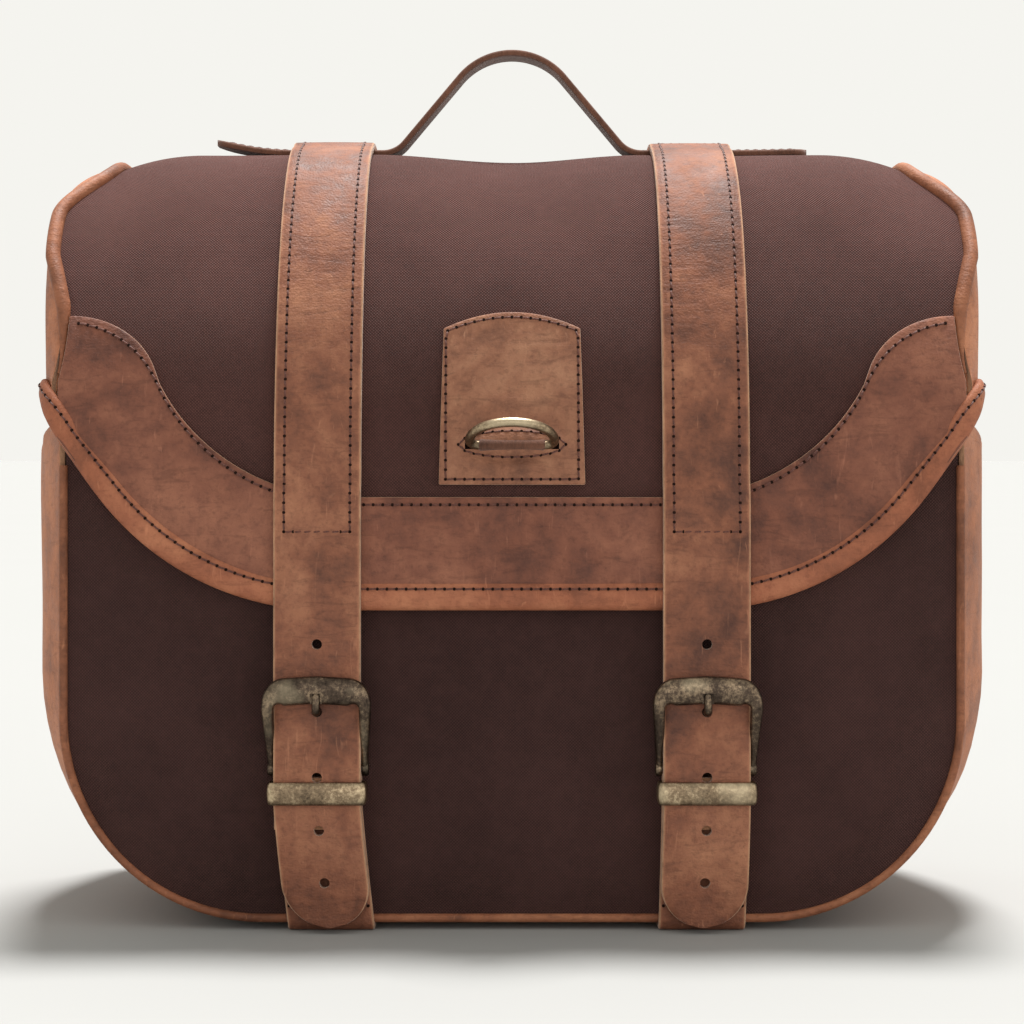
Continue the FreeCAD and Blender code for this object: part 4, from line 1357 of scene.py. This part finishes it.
def prong(side_name):
    """The tongue: round the bar, up behind the tail, out through a hole, its tip in the frame's notch."""
    x = SIDES[side_name] * STRAP_X
    hole_z = HOLES[1]
    stem_y = FRONT - 4.9
    front_y = frame_y(FRAME_MIDDLE_Z) - 1.55
    corners = [
        Vector((x, stem_y, PIVOT.z + 0.5)), Vector((x, stem_y, hole_z)), Vector((x, front_y, hole_z)),
        Vector((x, front_y, hole_z + 6.2)),
    ]
    points = bend_points(corners, 2.6)
    tip = points[-1]
    points += [tip + Vector((0, 0, 0.7)), tip + Vector((0, 0, 1.1))]
    stations = stations_along(points, [Vector((1, 0, 0))] * len(points))
    sizes = [1.0] * (len(points) - 3) + [0.98, 0.8, 0.35]
    pile = Pile()
    add_sweep(pile, [s._replace(wide=w, thick=w) for s, w in zip(stations, sizes)], round_section(1.5, 14))
    eye = [Vector((x, PIVOT.y + a, PIVOT.z + b)) for a, b, _ in round_section(2.15, 20)]
    round_bar = stations_along(eye, [Vector((1, 0, 0))] * len(eye), closed=True)
    add_sweep(pile, round_bar, soft_section(0.65, 1.6, 3, 12), closed=True)
    obj = pile.build(f"Prong_{side_name}", [BRASS])
    outwards(obj)
    finish_piece(obj, f"tongue_{side_name}", [f"prong_{side_name}"])


def keeper(side_name):
    """The metal loop that holds the tail: half round in front, flat behind."""
    node = f"keeper_{side_name}"
    x = SIDES[side_name] * STRAP_X
    half_x = (high(node, X) - low(node, X)) / 2 - 1.0
    front = low(node, Y) + 1.2
    back = high(node, Y) - 0.6
    middle_z = (low(node, Z) + high(node, Z)) / 2
    half_z = (high(node, Z) - low(node, Z)) / 2
    outline = ((0, back), (half_x, back), (half_x, front), (-half_x, front), (-half_x, back), (0, back))
    path = bend_points([Vector((x + across, y, middle_z)) for across, y in outline], 2.6)[:-1]
    inside = Vector((x, (front + back) / 2, middle_z))
    stations = []
    for i, at in enumerate(path):
        along = (path[(i + 1) % len(path)] - path[i - 1]).normalized()
        out = Vector((0, 0, 1)).cross(along)
        if out.dot(at - inside) < 0:
            out = -out
        forward = smooth((-out.y - 0.1) / 0.7)
        wide, thick = lerp(0.9, 1.0, forward), lerp(0.42, 1.0, forward)
        stations.append(Station(at, Vector((0, 0, 1)), out, wide, thick))
    section = soft_section(half_z, 1.45, 2.2, 24)
    obj = sweep(f"Keeper_{side_name}", stations, section, [LIGHTER_BRASS], closed=True)
    finish_piece(obj, f"loop_{side_name}", [node])


# ---- Hand loop ----

def hand_loop():
    """The strap of the handle: two flat tongues and a bell-shaped arch between them."""
    bottom = low("handle_end_right", Z) + HANDLE / 2 + 0.1
    top = HANDLE_TOP_Z - HANDLE / 2
    foot = HANDLE_FOOT
    sine, cosine = math.sin(HANDLE_SLOPE), math.cos(HANDLE_SLOPE)
    radii = (foot * sine - (top - bottom) * cosine) / (1 - cosine)
    foot_r = 0.3 * radii
    top_r = radii - foot_r
    right = []
    for t in steps(26):
        right.append((lerp(HANDLE_END, foot, t), bottom, Vector((0, 0, 1))))
    for t in steps(12)[1:]:
        turn = HANDLE_SLOPE * t
        right.append((foot - foot_r * math.sin(turn), bottom + foot_r * (1 - math.cos(turn)),
                      Vector((math.sin(turn), 0, math.cos(turn)))))
    for t in steps(24):
        turn = HANDLE_SLOPE * (1 - t)
        right.append((top_r * math.sin(turn), top - top_r * (1 - math.cos(turn)),
                      Vector((math.sin(turn), 0, math.cos(turn)))))
    left = [(-a, z, mirrored(o)) for a, z, o in right[:-1]]
    stations = []
    for a, z, out in left + right[::-1]:
        beyond = max(0.0, abs(a) - STRAP_X - STRAP_HALF) / (HANDLE_END - STRAP_X - STRAP_HALF)
        curl = (CURL_LEFT if a < 0 else CURL_RIGHT) * beyond ** 2
        at = Vector((a, HANDLE_Y, z + curl))
        from_end = HANDLE_END - abs(a)
        half = HANDLE_HALF
        if from_end < HANDLE_HALF:
            half = max(1.0, math.sqrt(HANDLE_HALF ** 2 - (HANDLE_HALF - from_end) ** 2 * 0.82))
        stations.append(Station(at, Vector((0, 1, 0)), out, half / HANDLE_HALF, 1.0))
    obj = sweep("HandLoop", stations, strap_section(HANDLE_HALF, HANDLE, 0.2, 7), [STRAP_FACE, DARK_EDGE])
    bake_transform(obj)
    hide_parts("handle_arch", "handle_end_left", "handle_end_right")
    lines = []
    for edge in (-1, 1):
        shift = Vector((0, edge * (HANDLE_HALF - 2.0), 0))
        for side in (-1, 1):
            near, far = STRAP_X + STRAP_HALF, HANDLE_END - 5
            chosen = [s for s in stations if near < s.at.x * side and abs(s.at.x) < far]
            lines.append([(s.at + shift + s.out * (HANDLE / 2 + 0.1), s.out) for s in chosen])
    stitch_piece("HandLoopStitches", lines, "lid")


# ---- Case ----

def mouth_z(y):
    """Height of the case's open edge at one depth."""
    back = y - FRONT
    if back < MOUTH_BEND:
        return lerp(MOUTH_FRONT_Z, MOUTH_BEND_Z, max(0.0, back) / MOUTH_BEND)
    return lerp(MOUTH_BEND_Z, MOUTH_BACK_Z, min(1.0, (back - MOUTH_BEND) / (BACK - FRONT - MOUTH_BEND)))


def case_half(y, z, inset=0.0):
    """Half width of the case, fullest half way back, and drawn in under the lid."""
    full = lens((y - MIDDLE) / (HALF_DEPTH - 3.3))
    drawn = smooth((z - 180) / 20)
    return SEAM_HALF - inset + lerp(BULGE + PROUD, 1.5, drawn) * full


def case_edge(y, top, inset, counts=(9, 18, 16)):
    """(x, z, outward direction) down the left side of the case, along its bottom and up the right."""
    bottom = CASE_LOW + inset
    half = case_half(y, 0, inset)
    radius = half - FLAT_HALF
    right = []
    for t in steps(counts[0])[:-1]:
        right.append((FLAT_HALF * t, bottom, Vector((0, 0, -1))))
    for t in steps(counts[1])[:-1]:
        turn = t * math.pi / 2
        out = Vector((math.sin(turn), 0, -math.cos(turn)))
        right.append((FLAT_HALF + radius * out.x, bottom + radius + radius * out.z, out))
    for t in steps(counts[2]):
        z = lerp(bottom + radius, top, t)
        right.append((case_half(y, z, inset), z, Vector((1, 0, 0))))
    left = [(-a, z, mirrored(o)) for a, z, o in right[1:]]
    return left[::-1] + right


def panel_rows(y, top, out_y, inset, soft):
    """Rows of a front or back panel. It is sunk beside its seam and stands proud between the straps."""
    bottom = CASE_LOW + inset
    corner = CORNER - inset

    def place(u, v):
        z = lerp(bottom, top, v)
        below = max(0.0, bottom + corner - z)
        half = FLAT_HALF + math.sqrt(max(0.0, corner ** 2 - below ** 2))
        x = (2 * u - 1) * half
        edge = min(half - abs(x), z - bottom) / SEAM_SLOPE
        sunk = SEAM_SUNK * (1 - smooth(edge))
        proud = soft * (lens(x / 53) + lens((abs(x) - 122) / 32)) * lens((z - 62) / 58)
        wave = ripple(x, z, 34, 0.9, 2.0) * smooth(edge) * min(1.0, abs(abs(x) - STRAP_X) / 24)
        return Vector((x, y + out_y * (proud - sunk + min(0.0, wave)), z)), (x, z)

    rows = grid(80, 101, place)
    return rows if out_y < 0 else [row[::-1] for row in rows]


def front_panel():
    top = MOUTH_FRONT_Z + 14
    rows = panel_rows(FRONT, top, -1, 2 * PIPING_R - 0.6, 1.5)
    obj = skin("FrontPanel", rows, PANEL, [CANVAS, CANVAS_SIDE])
    return finish_piece(obj, "case", ["front_panel"])


def back_panel():
    rows = panel_rows(BACK, HINGE.z - 1.5, 1, 2 * PIPING_R - 0.6, 0.0)
    obj = skin("BackPanel", rows, PANEL, [CANVAS, CANVAS_SIDE])
    cut(obj, eyelet_tools())
    return finish_piece(obj, "case", ["back_panel"])


def gusset():
    """The leather side and bottom wall, fullest half way back, with soft upright folds."""
    start, end = FRONT + 2.2, BACK - 2.2
    rows = []
    for v in steps(34):
        y = lerp(start, end, v)
        edge = case_edge(y, mouth_z(y) - 0.5, 0.0)
        fold = smooth(min(v, 1 - v) * 6)
        row = []
        run = 0.0
        for i, (x, z, out) in enumerate(edge):
            if i:
                run += math.hypot(x - edge[i - 1][0], z - edge[i - 1][1])
            wave = fold * ripple(y * 1.8, run, 40, 0.9, 8.0) * smooth((z - 6) / 20)
            row.append((Vector((x, y, z)) + out * wave, (y, run)))
        rows.append(row[::-1])
    obj = skin("Gusset", rows, 2.2, [GUSSET_FACE, RAW])
    return finish_piece(obj, "case", ["gusset"])


def case_piping(name, node, y, top):
    edge = case_edge(FRONT, top, PIPING_R, (14, 30, 20))
    points = [Vector((x, y, z)) for x, z, _ in edge]
    outs = [o for _, _, o in edge]
    obj = cord(name, points, outs, PIPING_R, [PIPING])
    finish_piece(obj, "case", [node])


def lining():
    """A bag of thin cloth inside the case: its wall all round, its front and its back."""
    inset = 3.6
    floor = high("base_board", Z) + 0.4 - CASE_LOW
    start, end = low("lining", Y), high("lining", Y)
    rows = []
    for v in steps(24):
        y = lerp(start, end, v)
        row = []
        for x, z, out in case_edge(y, mouth_z(y) - 0.8, inset):
            lifted = max(z, CASE_LOW + floor)
            row.append((Vector((x, y, lifted)) - out * (0.5 + ripple(x + z, y, 25, 0.5, 3.0)), (y, x + z)))
        rows.append(row)
    wall = skin("LiningWall", rows, 0.8, [LINING, LINING], 0)
    finish_piece(wall, "case", ["lining"])
    ends = (("LiningFront", start, mouth_z(start) - 1, 1), ("LiningBack", end, MOUTH_BACK_Z - 2, -1))
    for name, y, top, facing in ends:
        inner = panel_rows(y + facing * 1.3, top, facing, inset + 1.2, 0.0)
        lifted = []
        for row in inner:
            lifted.append([(Vector((p.x, p.y, max(p.z, CASE_LOW + floor))), uv) for p, uv in row])
        obj = skin(name, lifted, 0.8, [LINING, LINING], 0)
        if y == end:
            cut(obj, eyelet_tools())
        finish_piece(obj, "case", [])


def rim_binding():
    """Leather folded over the open edge of the case."""
    front_y = FRONT + 2.6
    back_y = BACK - 3.6

    def on_rim(x, y):
        return Vector((x, y, mouth_z(y) + 1.4))

    right = [on_rim(lerp(0, SEAM_HALF - 6, t), front_y) for t in steps(16)]
    side_start = on_rim(SEAM_HALF - 2.2, front_y + 4)
    right += rounded(right[-1], on_rim(SEAM_HALF - 2.6, front_y), side_start, 6)[1:]
    for t in steps(40)[1:]:
        y = lerp(front_y + 4, back_y - 5, t)
        right.append(on_rim(case_half(y, 230) - 2.2, y))
    end = right[-1]
    beyond = on_rim(end.x - 6, back_y)
    right += rounded(end, on_rim(end.x - 0.4, back_y), beyond, 6)[1:]
    right += [on_rim(lerp(beyond.x, 0, t), back_y) for t in steps(14)[1:]]
    path = right + [mirrored(p) for p in right[1:-1]][::-1]
    stations = stations_along(path, [Vector((0, 0, 1))] * len(path), closed=True)
    obj = sweep("RimBinding", stations, soft_section(2.3, 1.7, 3.0, 16), [BIND_FACE], closed=True)
    finish_piece(obj, "case", ["rim_binding"])


# ---- Back ----

def eyelet_tools(y=BACK, radius=EYELET_R, length=30, count=28):
    """Round tools at the places of the four eyelets."""
    tools = []
    for side in SIDES.values():
        for z in EYELET_Z:
            at = Vector((side * EYELET_X, y, z))
            tools.append(punch(f"EyeletTool{len(tools)}", at, Vector((0, 1, 0)), radius, length, RAW, count))
    return tools


def back_plate():
    """The leather plate behind the bag, sewn round its edge, with holes for the eyelets."""
    half = high("back_reinforcement", X)
    bottom, top = low("back_reinforcement", Z), high("back_reinforcement", Z)
    face = high("back_reinforcement", Y)
    radius = 12.0

    def place(u, v):
        z = lerp(bottom, top, v)
        near = max(0.0, radius - min(z - bottom, top - z))
        wide = half - radius + math.sqrt(max(0.0, radius ** 2 - near ** 2))
        return Vector(((1 - 2 * u) * wide, face, z)), ((2 * u - 1) * wide, z)

    obj = skin("BackPlate", grid(60, 80, place), face - BACK - 0.1, [GUSSET_FACE, RAW], 0.4)
    recesses = eyelet_tools(face, RECESS_R, 2 * RECESS_DEPTH, 32)
    cut(obj, eyelet_tools() + recesses)
    finish_piece(obj, "case", ["back_reinforcement"])
    stitch_r = radius - STITCH_INSET
    ring = []
    wide, tall = half - radius, (top - bottom) / 2 - radius
    middle = (top + bottom) / 2
    for quarter, (across, up) in enumerate(((1, 1), (-1, 1), (-1, -1), (1, -1))):
        for t in steps(8):
            turn = (quarter + t) * math.pi / 2
            x = across * wide + stitch_r * math.cos(turn)
            z = middle + up * tall + stitch_r * math.sin(turn)
            ring.append((Vector((x, face + 0.1, z)), Vector((0, 1, 0))))
    ring.append(ring[0])
    stitch_piece("BackPlateStitches", [ring], "case")


def hinge_strip():
    """The leather that joins the lid to the back of the case, sewn along its lower edge."""
    half = SEAM_HALF - 0.6
    bottom, top = low("hinge_strip", Z), high("hinge_strip", Z)
    face = high("hinge_strip", Y)

    def place(u, v):
        z = lerp(bottom, top, v)
        return Vector(((1 - 2 * u) * half, face, z)), ((2 * u - 1) * half, z)

    obj = skin("HingeStrip", grid(24, 120, place), 1.4, [BAND_FACE, RAW], 0.3)
    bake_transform(obj)
    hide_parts("hinge_strip")
    line = []
    for t in steps(40):
        line.append((Vector((lerp(-half + 3, half - 3, t), face + 0.1, bottom + 3.5)), Vector((0, 1, 0))))
    stitch_piece("HingeStitches", [line], "case")


# ---- The whole bag ----

def floor():
    """A plain floor, as far as the camera sees."""
    reach = 60000.0

    def place(u, v):
        return Vector((lerp(-reach, reach, u), lerp(-reach, reach, v), 0)), (u, v)

    obj = skin("Floor", grid(3, 3, place), 0, [floor_look("StudioFloor")])


def build():
    lid_canvas()
    lid_lining()
    lid_band()
    lid_cheeks()
    lid_pipings()
    edge_binding()
    patch()
    ring_tab()
    d_ring()
    hand_loop()
    front_panel()
    back_panel()
    gusset()
    case_piping("FrontPiping", "front_piping", FRONT + PIPING_R, MOUTH_FRONT_Z)
    case_piping("BackPiping", "back_piping", BACK - PIPING_R, high("back_piping", Z))
    lining()
    rim_binding()
    back_plate()
    hinge_strip()
    for side_name in SIDES:
        strap(side_name)
        billet(side_name)
        buckle(side_name)
        prong(side_name)
        keeper(side_name)


add_camera()
add_lights()
floor()
dress_cad_nodes()
build()
